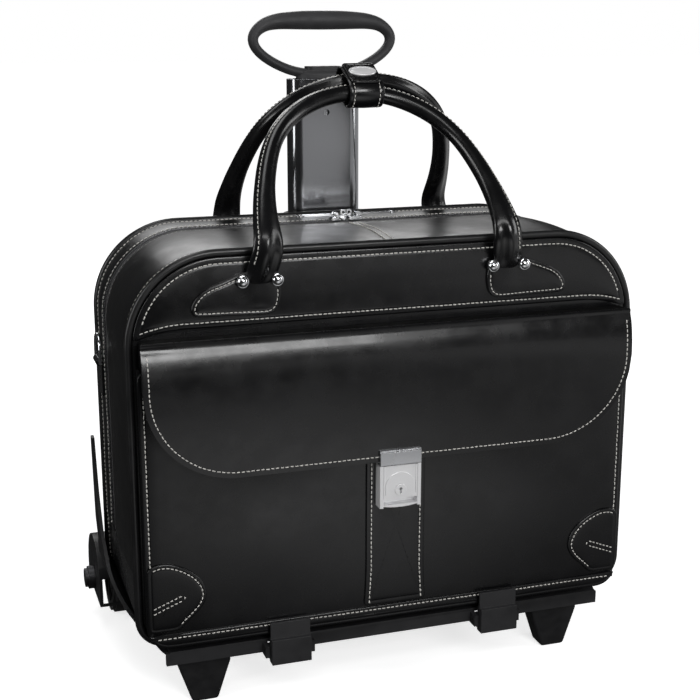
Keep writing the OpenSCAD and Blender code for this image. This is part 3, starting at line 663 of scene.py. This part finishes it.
def make_zip_teeth():
    """Tapered teeth, set to the front and the back in turn."""
    path = upper_path(2.9, 1.5)
    rings = ((.52, 1.7, -.1), (.38, 1.4, .65))
    verts, faces = [], []
    for i, (p, n) in enumerate(zip(path, band_normals(path))):
        side = 1 if i % 2 else -1
        along = np.array([n[2], 0, -n[0]])
        c = np.array([p[0], ZIP_Y + side * 0.7, p[1]])
        for a, b, h in rings:
            for sa, sb in ((-1, -1), (1, -1), (1, 1), (-1, 1)):
                verts.append(c + along * sa * a + np.array([0, sb * b, 0]) + n * h)
        o = i * 8
        faces += [(o, o + 3, o + 2, o + 1), (o + 4, o + 5, o + 6, o + 7)]
        faces += [(o + k, o + (k + 1) % 4, o + 4 + (k + 1) % 4, o + 4 + k) for k in range(4)]
    build("zip_teeth_row", verts, faces, "case", "teeth", ["zip_teeth"], smooth=20)


make_upper_gussets()
make_base_gusset()
make_zip_tapes()
make_zip_teeth()


# ---------------------------------------------------------------- front pocket

POCKET_Y = LO["front_pocket"][1] - CASE_Y
PX, P0, P1 = HI["front_pocket"][0], LO["front_pocket"][2], HI["front_pocket"][2]
POCKET_R = 18
BAND_Z = HI["bottom_band"][2]


def pocket_bulge(x, z):
    side = np.exp(-((np.abs(x) - 118) / 52) ** 2) * np.exp(-((z - 160) / 62) ** 2)
    return 3.0 * side + ripple(x, z, 0.28, 48, 4.0) * np.clip((PX - np.abs(x)) / 30, 0, 1)


def pocket_corners(r, a0, a1):
    """Arcs of radius r round the two lower corners of the pocket, reaching a0 and a1 up its sides."""
    x, z = PX - POCKET_R, P0 + POCKET_R
    return arc(-x, z, r, a0, 270), arc(x, z, r, 270, a1)


def make_pocket():
    face = soften(round_box(-PX, P0, PX, P1, POCKET_R, 5, 3.2), 2, True)
    v, f = pad(face, POCKET_Y + 2.2, -1, 2.2, 1.0, 20, 0.3, 4.2, 0.8, pocket_bulge)
    build("front_pocket_face", v, f, "case", "leather", ["front_pocket"])
    left, right = pocket_corners(POCKET_R - 1.5, 180, 360)
    walls = resample(np.vstack([[(1.5 - PX, P1)], left, right, [(PX - 1.5, P1)]]), 4)
    path = np.stack([walls[:, 0], np.full(len(walls), POCKET_Y + 5.4), walls[:, 1]], 1)
    strip = [(-0.9, -3.9), (0.9, -3.9), (1.3, 0), (0.9, 3.9), (-0.9, 3.9)]
    v, f = tube(path, strip, (1, 0, 0))
    build("front_pocket_gusset", v, f, "case", "leather")
    runs = []
    for line in stitched_line(face, 4.2, lambda x, z: (z < P1 - 6) & (z > P0 + 16)):
        runs.append(on_plane(line, POCKET_Y + 0.5, pocket_bulge))
    mouth = [(x, P1 - 4.5) for x in np.linspace(5 - PX, PX - 5, 100)]
    runs.append(on_plane(mouth, POCKET_Y + 0.5, pocket_bulge))
    stitches("pocket_stitching", runs, "case")


def make_bottom_band():
    left, right = pocket_corners(POCKET_R - 0.2, 193, 347)
    top = [(x, BAND_Z) for x in np.linspace(PX - 0.5, 0.5 - PX, 110)]
    band = soften(resample(np.vstack([left, right, top]), 3.2, True), 2, True)
    v, f = pad(band, POCKET_Y, -1, 1.6, 0.3, 5, 0.25, 3.0, 0.8, pocket_bulge, centre=(0, 67.5), rows=5)
    build("bottom_band_leather", v, f, "case", "leather", ["bottom_band"])
    line = [(x, BAND_Z - 3.0) for x in np.linspace(-204, 204, 120)]
    stitches("bottom_band_stitching", [on_plane(line, POCKET_Y - 1.45, pocket_bulge)], "case")


def make_lock_strap():
    """Strap under the lock, a little wider towards the bottom."""
    half = [(28, BAND_Z + 1), (26.6, 92), (26, 110), (26, 218)]
    strap = half + [(-x, z) for x, z in half[::-1]]
    strap = soften(resample(strap, 1.8, True), 5, True)
    v, f = pad(strap, POCKET_Y - 0.1, -1, 2.1, 0.4, 14, 0.3, 4.4, 0.9, pocket_bulge, centre=(0, 147))
    build("lock_strap_leather", v, f, "case", "leather", ["lock_strap"])
    runs = []
    for s in (-1, 1):
        heights = np.linspace(BAND_Z + 3, 216, 60)
        line = [(s * (23.6 - 2 * min((z - BAND_Z) / 35, 1)), z) for z in heights]
        runs.append(on_plane(line, POCKET_Y - 1.95, pocket_bulge))
    stitches("lock_strap_stitching", runs, "case")


def make_corner_patch(s, name):
    """Rounded patch in a lower corner of the pocket, with a slanted dart sewn with two rows."""
    shape = [(1 - PX, BAND_Z + 3), (1 - PX, 133), (-202, 136.5), (-192, 136), (-181, 131.5), (-171, 124.5),
             (-164, 115), (-162, 105), (-166, 96), (-173, 89), (-180, 83), (-185, BAND_Z + 3)]
    shape = soften(resample(shape[::-1], 2.0, True), 6, True)
    if s > 0:
        shape = (shape * np.array([-1, 1]))[::-1]
    middle = (s * 190, 106)
    v, f = pad(shape, POCKET_Y - 0.1, -1, 2.0, 0.4, 12, 0.3, 3.2, 0.8, pocket_bulge, centre=middle, rows=8)
    build(f"corner_patch_{name}_leather", v, f, "case", "leather", [f"corner_patch_{name}"])
    runs = []
    for line in stitched_line(shape, 3.2, lambda x, z: (z > BAND_Z + 8) & (np.abs(x) < PX - 5)):
        runs.append(on_plane(line, POCKET_Y - 1.75, pocket_bulge))
    for dz in (-2.2, 2.2):
        dart = [(-s * (24 * k - 207), 96 + dz + 9.5 * k) for k in np.linspace(0, 1, 20)]
        runs.append(on_plane(dart, POCKET_Y - 2.0, pocket_bulge))
    tip = arc(-183, 105.5, 2.2, -90, 90, 0.6) * np.array([-s, 1])
    runs.append(on_plane(tip, POCKET_Y - 2.0, pocket_bulge))
    stitches(f"corner_patch_{name}_stitching", runs, "case", pitch=3.6, length=2.7)


make_pocket()
make_bottom_band()
make_lock_strap()
make_corner_patch(-1, "left")
make_corner_patch(1, "right")


# ---------------------------------------------------------------- flap

HINGE_Z = (LO["flap_strip"][2] + HI["flap_strip"][2]) / 2
FLAP_X, FLAP_LOW = HI["flap_panel"][0], LO["flap_panel"][2]
FLAP_TOP = HINGE_Z + 3
FLAP_R = 75.0                # lower corners
ROLL_R, ROLL_OUT = 38, 10.0  # height and depth of the roll under the fold
FOLD_Y, FOLD_R = -99.6, 2.5


def flap_face(x, z):
    """Depth of the flap: it rolls outwards below the fold, and its sides pull back a little."""
    s = FLAP_TOP - z
    roll = np.sqrt(1 - (np.clip(ROLL_R - s, 0, ROLL_R) / ROLL_R) ** 2)
    y = -(97.0 + ROLL_OUT * roll) + 2.2 * (s / 113) ** 2
    y = y - 0.8 * np.clip((np.abs(x) - 150) / 60, 0, 1) ** 2 * np.clip(s / 60, 0, 1)
    return y + ripple(x, z, 0.3, 70, 5.0) * np.clip(s / 40, 0, 1)


def flap_edge(x):
    """Lower edge of the flap with its two wide round corners."""
    d = np.clip(np.abs(x) - (FLAP_X - FLAP_R), 0, FLAP_R - 0.01)
    return FLAP_LOW + FLAP_R - np.sqrt(FLAP_R ** 2 - d ** 2)


def flap_grid(fold_rows=6, face_rows=44):
    u = np.linspace(-1, 1, 121)
    xs = FLAP_X * np.sin(u * math.pi / 2) * 0.55 + FLAP_X * u * 0.45
    grid = np.zeros((fold_rows + face_rows, len(xs), 3))
    grid[:, :, 0] = xs
    for k in range(fold_rows):
        a = math.radians(20 + k * 27)
        grid[k, :, 1] = FOLD_Y + FOLD_R * math.cos(a)
        grid[k, :, 2] = HINGE_Z + 0.4 + (FOLD_R + 0.1) * math.sin(a)
    fold_y, start = grid[fold_rows - 1, :, 1], grid[fold_rows - 1, 0, 2]
    for r in range(face_rows):
        z = start + (flap_edge(xs) - start) * (r + 1) / face_rows
        mix = np.clip((start - z) / 7, 0, 1)
        grid[fold_rows + r, :, 1] = (1 - mix) * fold_y + mix * flap_face(xs, z)
        grid[fold_rows + r, :, 2] = z
    return grid


def make_flap():
    v, f = solid_sheet(flap_grid(), 2.2)
    flap = build("flap_leather", v, f, "flap", "leather", ["flap_panel"])
    bevel = flap.modifiers.new("edge", "BEVEL")
    bevel.width, bevel.segments = 0.0007, 2
    bevel.limit_method, bevel.angle_limit = "ANGLE", math.radians(50)
    low = [(x, flap_edge(x)) for x in np.linspace(0.2 - FLAP_X, FLAP_X - 0.2, 400)]
    edge = resample([(-FLAP_X, HINGE_Z - 6)] + low + [(FLAP_X, HINGE_Z - 6)], 3)
    t = unit(np.gradient(edge, axis=0))
    x, z = (edge + 4.6 * np.stack([-t[:, 1], t[:, 0]], 1)).T
    slope = (flap_face(x, z + 1) - flap_face(x, z - 1)) / 2
    away = unit(np.stack([np.zeros(len(slope)), -np.ones(len(slope)), slope], 1))
    stitches("flap_stitching", [(np.stack([x, flap_face(x, z), z], 1), away)], "flap")


make_flap()


# ---------------------------------------------------------------- handles

ROOT_X = (HI["handle_front"][0] - LO["handle_front"][0]) / 2 - 7.15
SHIFT = -(HI["handle_front"][0] + LO["handle_front"][0]) / 2
HANDLE_R, HANDLE_BODY = 7.0, 0.97  # the round body is this part of the radius, the seam fills it
APEX = {side: HI[node][2] - HANDLE_R for side, node in ((1, "handle_front"), (-1, "handle_back"))}
KEEPER_Z = (APEX[1] + APEX[-1]) / 2
TILT = math.asin((APEX[-1] - APEX[1]) / 2 / (HANDLE_R + 3))
ROOT_Y = 100.3
APEX_Y = (HANDLE_R + 3) * math.cos(TILT)
BEND_Z = TOP_Z + 7
CROWN_R = 90.0
SEAM_TURN = -0.12  # angle of the folded edge round the section
PATH_STEP = 3.0


def handle_path(apex_z):
    """Front handle from its left root, over the arch, to its right root, about its own middle."""
    height = math.hypot(ROOT_Y - APEX_Y, apex_z - BEND_Z)
    lean = math.atan2(ROOT_Y - APEX_Y, apex_z - BEND_Z)
    rise = height - CROWN_R
    side = (ROOT_X ** 2 + rise ** 2 - CROWN_R ** 2) / (2 * (ROOT_X - CROWN_R))
    turn = math.degrees(math.atan2(rise, side - ROOT_X))
    right = arc(ROOT_X - side, 0, side, 0, turn, 4)
    top = arc(0, rise, CROWN_R, turn, 180 - turn, 4)
    left = (right * np.array([-1, 1]))[::-1]
    x, up = np.vstack([right[:-1], top, left[1:]])[::-1].T
    arch = np.stack([x, up * math.sin(lean) - ROOT_Y, BEND_Z + up * math.cos(lean)], 1)
    root = np.array([(8, -83, 351), (7, -86.6, 357), (5.5, -91.2, 364), (3, -95.8, 372), (1, -99.2, 381),
                     (0, -100.6, 388)])
    down = np.stack([-ROOT_X - root[:, 0], root[:, 1], root[:, 2]], 1)
    mirrored = down[::-1] * np.array([-1, 1, 1])
    return soften(resample(np.vstack([down, arch, mirrored]), PATH_STEP), 9)


def handle_section():
    """Round leather tube with a raised folded edge beside its stitching."""
    a = np.linspace(0, 2 * math.pi, 36, endpoint=False)
    gap = np.abs((a - SEAM_TURN + math.pi) % (2 * math.pi) - math.pi)
    r = HANDLE_R * HANDLE_BODY + 1.3 * np.exp(-(gap / 0.24) ** 2) - 0.4 * np.exp(-((gap - 0.62) / 0.16) ** 2)
    return np.stack([r * np.cos(a), r * np.sin(a)], 1)


def at_handle(points, side):
    """Moves points drawn about the middle of the front handle to the front (1) or rear (-1) one."""
    p = np.asarray(points, float) - np.array([SHIFT, 0, 0])
    return p * np.array([side, side, 1])


def handle_scale(count):
    """Width and depth factors along a handle, which flares and flattens towards its roots."""
    k = np.arange(count)
    from_end = np.minimum(k, count - 1 - k) * PATH_STEP
    wide = np.interp(from_end, (0, 12, 22, 36, 52, 72, 98, 140), (1.3, 1.6, 1.72, 1.72, 1.6, 1.36, 1.12, 1.0))
    deep = np.interp(from_end, (0, 20, 40, 70, 100), (0.4, 0.5, 0.7, 0.9, 1.0))
    wobble = 1 + 0.012 * np.sin(k * 0.21)
    return np.stack([soften(wide[:, None], 4)[:, 0] * wobble, deep * wobble], 1)


def crease(v):
    """Presses a fold and a hollow into the roots of a handle, where its leather turns into the tab."""
    low = np.clip((412 - v[:, 2]) / 50, 0, 1)
    gap = np.abs(v[:, 0]) - ROOT_X - 4 + 0.16 * np.clip(v[:, 2] - 362, 0, 50)
    fold = np.exp(-((gap - 3.2) / 2.8) ** 2) - 1.25 * np.exp(-((gap + 3.4) / 3.0) ** 2)
    front = np.clip((-v[:, 1] - 92) / 4, 0, 1)
    v[:, 1] -= 2.2 * fold * low * np.clip(1.7 - low, 0, 1) * front
    return v


def make_handle(side, name):
    path = handle_path(APEX[side])
    scale = handle_scale(len(path))
    v, f = tube(path, handle_section(), (-1, 0, 0), scale=scale)
    handle = build(f"handle_{name}_leather", at_handle(crease(v), side), f, None, "leather",
                   [f"handle_{name}"], smooth=60)
    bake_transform(handle)
    _, normal, binormal = path_frames(path, (-1, 0, 0))
    a = SEAM_TURN + 0.62
    on_skin = normal * math.cos(a) * scale[:, :1] + binormal * math.sin(a) * scale[:, 1:]
    line = at_handle(path + HANDLE_R * HANDLE_BODY * on_skin, side)[9:-9]
    away = ((normal * math.cos(a) + binormal * math.sin(a)) * np.array([side, side, 1]))[9:-9]
    thread = stitches(f"handle_{name}_stitching", [(line, away)], None, pitch=4.2, r=0.45)
    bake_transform(thread)


# paddle shaped tabs that carry the handle roots, drawn from the root on
PADDLE = [(-59.1, 334.8), (-45.5, 334.3), (-31.5, 334.1), (-13.5, 333.6), (0.7, 333.2), (6.5, 335),
          (9.9, 340), (11.5, 348.5), (11.1, 356), (8.5, 362.5), (3.5, 366.5), (-3.5, 368), (-13.5, 368.5),
          (-20.5, 367.5), (-27.5, 364.5), (-36.5, 361), (-45.5, 358), (-53.5, 353.5), (-59.5, 346.5),
          (-61.5, 340)]
TAB_Y = -87.0
RIVET_Z = 361.5


def tab_bulge(x, z):
    gap = np.abs(x) - ROOT_X - 6.5
    return 1.8 * np.exp(-(gap / 9) ** 2) * np.clip((z - 340) / 26, 0, 1) + ripple(x, z, 0.18, 12, 1.0)


def make_tab(side, face, sx):
    """Tab on the front or the back, under the root on the side sx of its handle."""
    name = "left" if sx == side else "right"
    shape = soften(resample(np.array(PADDLE) - np.array([ROOT_X, 0]), 1.6, True), 5, True) * np.array([sx, 1])
    if sx < 0:
        shape = shape[::-1]
    middle = (-sx * (ROOT_X + 15.5), 349)
    v, f = pad(shape, TAB_Y, -1, 3.2, 0.9, 11, 0.4, 2.8, 1.2, tab_bulge, centre=middle, rows=10)
    build(f"tab_{face}_{name}_leather", at_handle(v, side), f, "case", "leather", [f"tab_{face}_{name}"])
    runs = []
    for line in stitched_line(shape, 2.8, lambda x, z: (z < 355) | (np.abs(x) > ROOT_X + 25.5)):
        pts, nor = on_plane(line, TAB_Y - 2.55, tab_bulge)
        runs.append((at_handle(pts, side), nor * side))
    stitches(f"tab_{face}_{name}_stitching", runs, "case", pitch=3.5, length=2.6, r=0.4)


def make_rivets():
    """Domed rivets with a rolled rim, from (radius, height) pairs."""
    dome = [(0.05, 3.4), (1.2, 3.3), (2.4, 2.9), (3.4, 2.2), (4.0, 1.3), (4.3, 0.9), (4.75, 0.85), (5.0, 0.4),
            (4.9, -2.6)]
    a = np.linspace(0, 2 * math.pi, 28, endpoint=False)
    parts = []
    for side in (1, -1):
        for x in (-ROOT_X - 20.5, 7.5 - ROOT_X, ROOT_X - 7.5, ROOT_X + 20.5):
            rings = [np.stack([x + r * np.cos(a), np.full(28, -93.2 - h), RIVET_Z + r * np.sin(a)], 1)
                     for r, h in dome]
            v, f = skin(rings)
            parts.append((at_handle(v, side), f))
    v, f = join(parts)
    build("tab_rivets_domed", v, f, "case", "chrome", ["tab_rivets"], smooth=50)


make_handle(1, "front")
make_handle(-1, "back")
for side, face in ((1, "front"), (-1, "back")):
    for sx in (1, -1):
        make_tab(side, face, sx)
make_rivets()


# ---------------------------------------------------------------- keeper that ties the handles

RISE, REACH, KEEPER_HALF = 12.2, 22.0, 15.0


def at_keeper(points):
    """Tilts points drawn about the middle of the keeper, because the front handle hangs lower."""
    x, y, z = np.asarray(points, float).T
    across, up = y * math.cos(TILT) - z * math.sin(TILT), y * math.sin(TILT) + z * math.cos(TILT)
    return np.stack([x, across, KEEPER_Z + up], 1)


def make_keeper_band():
    ring = round_box(1.2 - REACH, 1.2 - RISE, REACH - 1.2, RISE - 1.2, 9, 9, 2.0)
    ring = soften(ring, 2, True)
    path = np.stack([np.zeros(len(ring)), ring[:, 0], ring[:, 1]], 1)
    w = KEEPER_HALF
    half = [(1.4, 0), (1.15, w - 5), (.85, w - 4), (1.1, w - 3.2), (.95, w - .6), (.5, w)]
    outer = [(r, -b) for r, b in half[:0:-1]] + half
    strip = [(-.95, .6 - w), (-.5, -w)] + outer + [(-.5, w), (-.95, w - .6)]
    v, f = tube(path, strip, (0, 0, -1), closed=True)
    build("keeper_band_leather", at_keeper(v), f, "handles", "leather", ["keeper_band"])
    line, away = np.vstack([path, path[:1]]), np.vstack([unit(path), unit(path[:1])])
    runs = []
    for s in (-1, 1):
        edge = line + away * 1.05 + np.array([s * (w - 4), 0, 0])
        runs.append((at_keeper(edge), at_keeper(away) - np.array([0, 0, KEEPER_Z])))
    stitches("keeper_band_stitching", runs, "handles", pitch=3.6, length=2.7, r=0.4)


def top_pad(outline, z, height, soft, reach, groove, line, edge, rows=8):
    """Pad that lies flat and faces upwards."""
    v, f = pad(outline, 0, -1, height, soft, reach, groove, line, edge, rows=rows)
    return np.stack([v[:, 0], v[:, 2], z - v[:, 1]], 1), [q[::-1] for q in f]


def make_keeper_flap():
    shape = round_box(-14, -15, 14, 15.5, 5, 2.0, 1.6)
    v, f = top_pad(shape, RISE + 0.1, 2.2, 0.4, 6, 0.25, 3.0, 1.0)
    build("keeper_flap_leather", at_keeper(v), f, "keeper", "leather", ["keeper_flap"])
    v, f = top_pad(circle(12, 64, 7), RISE + 2.3, 1.7, 0.7, 6, 0.3, 1.8, 0.6)
    build("keeper_plate_oval", at_keeper(v), f, "keeper", "lock", ["keeper_plate"], smooth=40)


make_keeper_band()
make_keeper_flap()


# ---------------------------------------------------------------- loop grip

def make_grip():
    """Closed loop, thick along the top and thin below, from (x, drop, radius) points of one half."""
    top = HI["grip_loop"][2]
    y = (LO["grip_loop"][1] + HI["grip_loop"][1]) / 2 - CASE_Y
    half = [(0, 8.4, 8.4), (20, 8.4, 8.2), (40, 9.0, 7.2), (52, 11, 6.2), (60, 15.5, 5.2), (65, 21, 4.7),
            (66, 26, 4.4), (63, 33, 4.3), (55, 40.5, 4.3), (44, 47, 4.3), (32, 52, 4.4), (20, 55, 4.4),
            (0, 56, 4.4)]
    half = np.array([(x, top - drop, r) for x, drop, r in half])
    full = np.vstack([(half * np.array([-1, 1, 1]))[::-1], half[1:-1]])
    full = soften(resample(full, 2.5, True), 5, True)
    path = np.stack([full[:, 0], np.full(len(full), y), full[:, 1]], 1)
    scale = [(r / 8.0, 0.86 + 0.14 * r / 8.0) for r in full[:, 2]]
    v, f = tube(path, circle(8.0, 28), (0, 0, 1), closed=True, scale=scale)
    build("grip_loop_rubber", v, f, "grip", "rubber", ["grip_loop"], smooth=60)
    hub = circle(13, 72) + np.array([0, y])
    hub[:, 0] += 12 * np.sign(np.cos(2 * math.pi * np.arange(72) / 72))
    v, f = top_pad(resample(hub, 1.8, True), HI["post_tube"][2] + 0.2, 7.6, 2.0, 9, 0, 4.0, 2.6, rows=6)
    build("grip_hub_rubber", v, f, "grip", "rubber", smooth=60)


make_grip()


# ---------------------------------------------------------------- hard parts kept from the frame

def dress(node, mat, width, segments):
    """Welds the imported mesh, merges flat facets and rounds its edges, all as modifiers."""
    obj = frame["nodes"][node]
    obj.data.materials.clear()
    obj.data.materials.append(MATS[mat])
    weld = obj.modifiers.new("weld", "WELD")
    weld.merge_threshold = 0.00001
    flat = obj.modifiers.new("flat", "DECIMATE")
    flat.decimate_type = "DISSOLVE"
    flat.angle_limit = math.radians(1.5)
    round_off = obj.modifiers.new("round", "BEVEL")
    round_off.width = width / 1000
    round_off.segments = segments
    round_off.limit_method = "ANGLE"
    round_off.angle_limit = math.radians(32)
    obj.data.polygons.foreach_set("use_smooth", [True] * len(obj.data.polygons))
    normals = obj.modifiers.new("normals", "WEIGHTED_NORMAL")
    normals.keep_sharp = True


SLOTS = {s["node"]: s["material_slot"] for s in frame["record"]["subparts"]}
# flap_strip takes the "fold" leather, darkened as painted shade for the hollow at the fold
LOOKS = {"post_tube": "post", "flap_strip": "fold", "hasp_plate": "steel", "lock_frame": "lock",
         "lock_slider": "lock", "lock_cylinder": "lock", "wheel_axles": "teeth"}
ROUNDING = {"cradle": 1.0, "back_plate": 0.8, "wheel_bar": 1.5, "foot_left": 2.5, "foot_right": 2.5,
            "base_clip_left": 1.2, "base_clip_right": 1.2, "wheel_housings": 1.0, "wheel_left": 0.8,
            "wheel_right": 0.8, "post_sleeve": 0.6, "post_collar": 0.5, "laptop_divider": 1.8,
            "base_board": 0.8, "flap_strip": 1.2, "release_button": 1.2, "side_tab_left": 0.5,
            "side_tab_right": 0.5, "lock_slider": 0.35, "hasp_plate": 0.6, "lock_frame": 0.5,
            "post_tube": 0.3, "inner_post": 0.3}
for name, obj in frame["nodes"].items():
    if not obj.hide_render:
        width = ROUNDING.get(name, 0.25)
        dress(name, LOOKS.get(name, SLOTS[name]), width, 3 if width >= 1 else 2)


# ---------------------------------------------------------------- stage, light and camera

def floor_material():
    """Pale to the camera, but to reflections a dark card with one bright patch in front of the case."""
    n = Nodes("studio_floor")
    n.colour(n.noise(3, 2.0), 0, (0.90, 0.90, 0.90), (0.93, 0.93, 0.93))
    n.bsdf.inputs["Roughness"].default_value = 0.9
    n.bsdf.inputs["Emission Color"].default_value = (1, 1, 1, 1)
    # painted light: the floor glows from 0.72 near the case to 1.0 far away, so the far floor stays as white
    # as the background
    n.link(n.ramp(n.distance((0, 0, 0)), 1, 0.72, 1.0, 0.35, 1.6), 0, n.bsdf, "Emission Strength")
    # painted reflection light: reflections see a glowing card that is bright in one patch in front of the
    # case and brighter towards the right
    patch = n.ramp(n.distance((0.05, -0.62, 0)), 1, 0.85, 0.03, 0.06, 0.42)
    split = n.add("SeparateXYZ")
    n.link(n.coord, "Object", split, 0)
    both = n.add("Math")
    n.link(patch, 0, both, 0)
    n.link(n.ramp(split, 0, 0, 0.5, 0.2, 0.9), 0, both, 1)
    card = n.add("Emission")
    n.link(both, 0, card, "Strength")
    mixer = n.add("MixShader")
    n.link(n.add("LightPath"), "Is Camera Ray", mixer, 0)
    n.link(card, 0, mixer, 1)
    n.link(n.bsdf, 0, mixer, 2)
    n.link(mixer, 0, n.out, 0)
    return n.done()


def make_floor(size=14.0):
    mesh = bpy.data.meshes.new("studio_floor")
    corners = [(-size, -size, 0), (size, -size, 0), (size, size, 0), (-size, size, 0)]
    mesh.from_pydata(corners, [], [(0, 1, 2, 3)])
    mesh.materials.append(floor_material())
    floor = bpy.data.objects.new("studio_floor", mesh)
    bpy.context.scene.collection.objects.link(floor)


def area(name, place, target, width, height, power):
    """Soft box light at a place, turned to its target."""
    data = bpy.data.lights.new(name, "AREA")
    data.shape = "RECTANGLE"
    data.size, data.size_y, data.energy = width, height, power
    obj = bpy.data.objects.new(name, data)
    bpy.context.scene.collection.objects.link(obj)
    obj.location = place
    obj.rotation_euler = (Vector(target) - Vector(place)).to_track_quat("-Z", "Y").to_euler()


def make_world(seen=1.0, lit=0.04):
    """White to the camera, and a faint even light to everything else."""
    world = bpy.data.worlds.new("studio")
    bpy.context.scene.world = world
    world.use_nodes = True
    tree = world.node_tree
    tree.nodes.clear()
    output = tree.nodes.new("ShaderNodeOutputWorld")
    mixer = tree.nodes.new("ShaderNodeMixShader")
    rays = tree.nodes.new("ShaderNodeLightPath")
    tree.links.new(rays.outputs["Is Camera Ray"], mixer.inputs[0])
    for socket, strength in ((1, lit), (2, seen)):
        background = tree.nodes.new("ShaderNodeBackground")
        background.inputs["Color"].default_value = (1, 1, 1, 1)
        background.inputs["Strength"].default_value = strength
        tree.links.new(background.outputs[0], mixer.inputs[socket])
    tree.links.new(mixer.outputs[0], output.inputs[0])


def make_camera(place, target, focal_length):
    lens = bpy.data.cameras.new("camera")
    lens.lens = focal_length
    lens.sensor_width = 36
    camera = bpy.data.objects.new("camera", lens)
    bpy.context.scene.collection.objects.link(camera)
    camera.location = place
    camera.rotation_euler = (Vector(target) - camera.location).to_track_quat("-Z", "Y").to_euler()
    bpy.context.scene.camera = camera


make_floor()
area("top_box", (-0.35, 0.1, 1.7), (0, 0, 0.3), 0.9, 0.5, 4)
area("front_high", (0.25, -1.95, 1.0), (0, 0, 0.3), 0.75, 0.6, 15)
area("front_wide", (-0.5, -2.2, 2.2), (0, 0, 0.3), 1.6, 0.5, 11)
area("left_box", (-1.6, -0.5, 0.8), (0, 0, 0.3), 0.35, 1.2, 8)
area("right_box", (1.7, -0.7, 0.9), (0, 0, 0.3), 0.4, 1.2, 8)
area("back_box", (0.2, 1.6, 1.2), (0, 0, 0.4), 1.4, 0.6, 9)
make_world()
make_camera((-0.3665, -1.1116, 0.5655), (-0.0087, CASE_Y / 1000, 0.275), 68.6)
bpy.context.scene.view_settings.view_transform = "Standard"
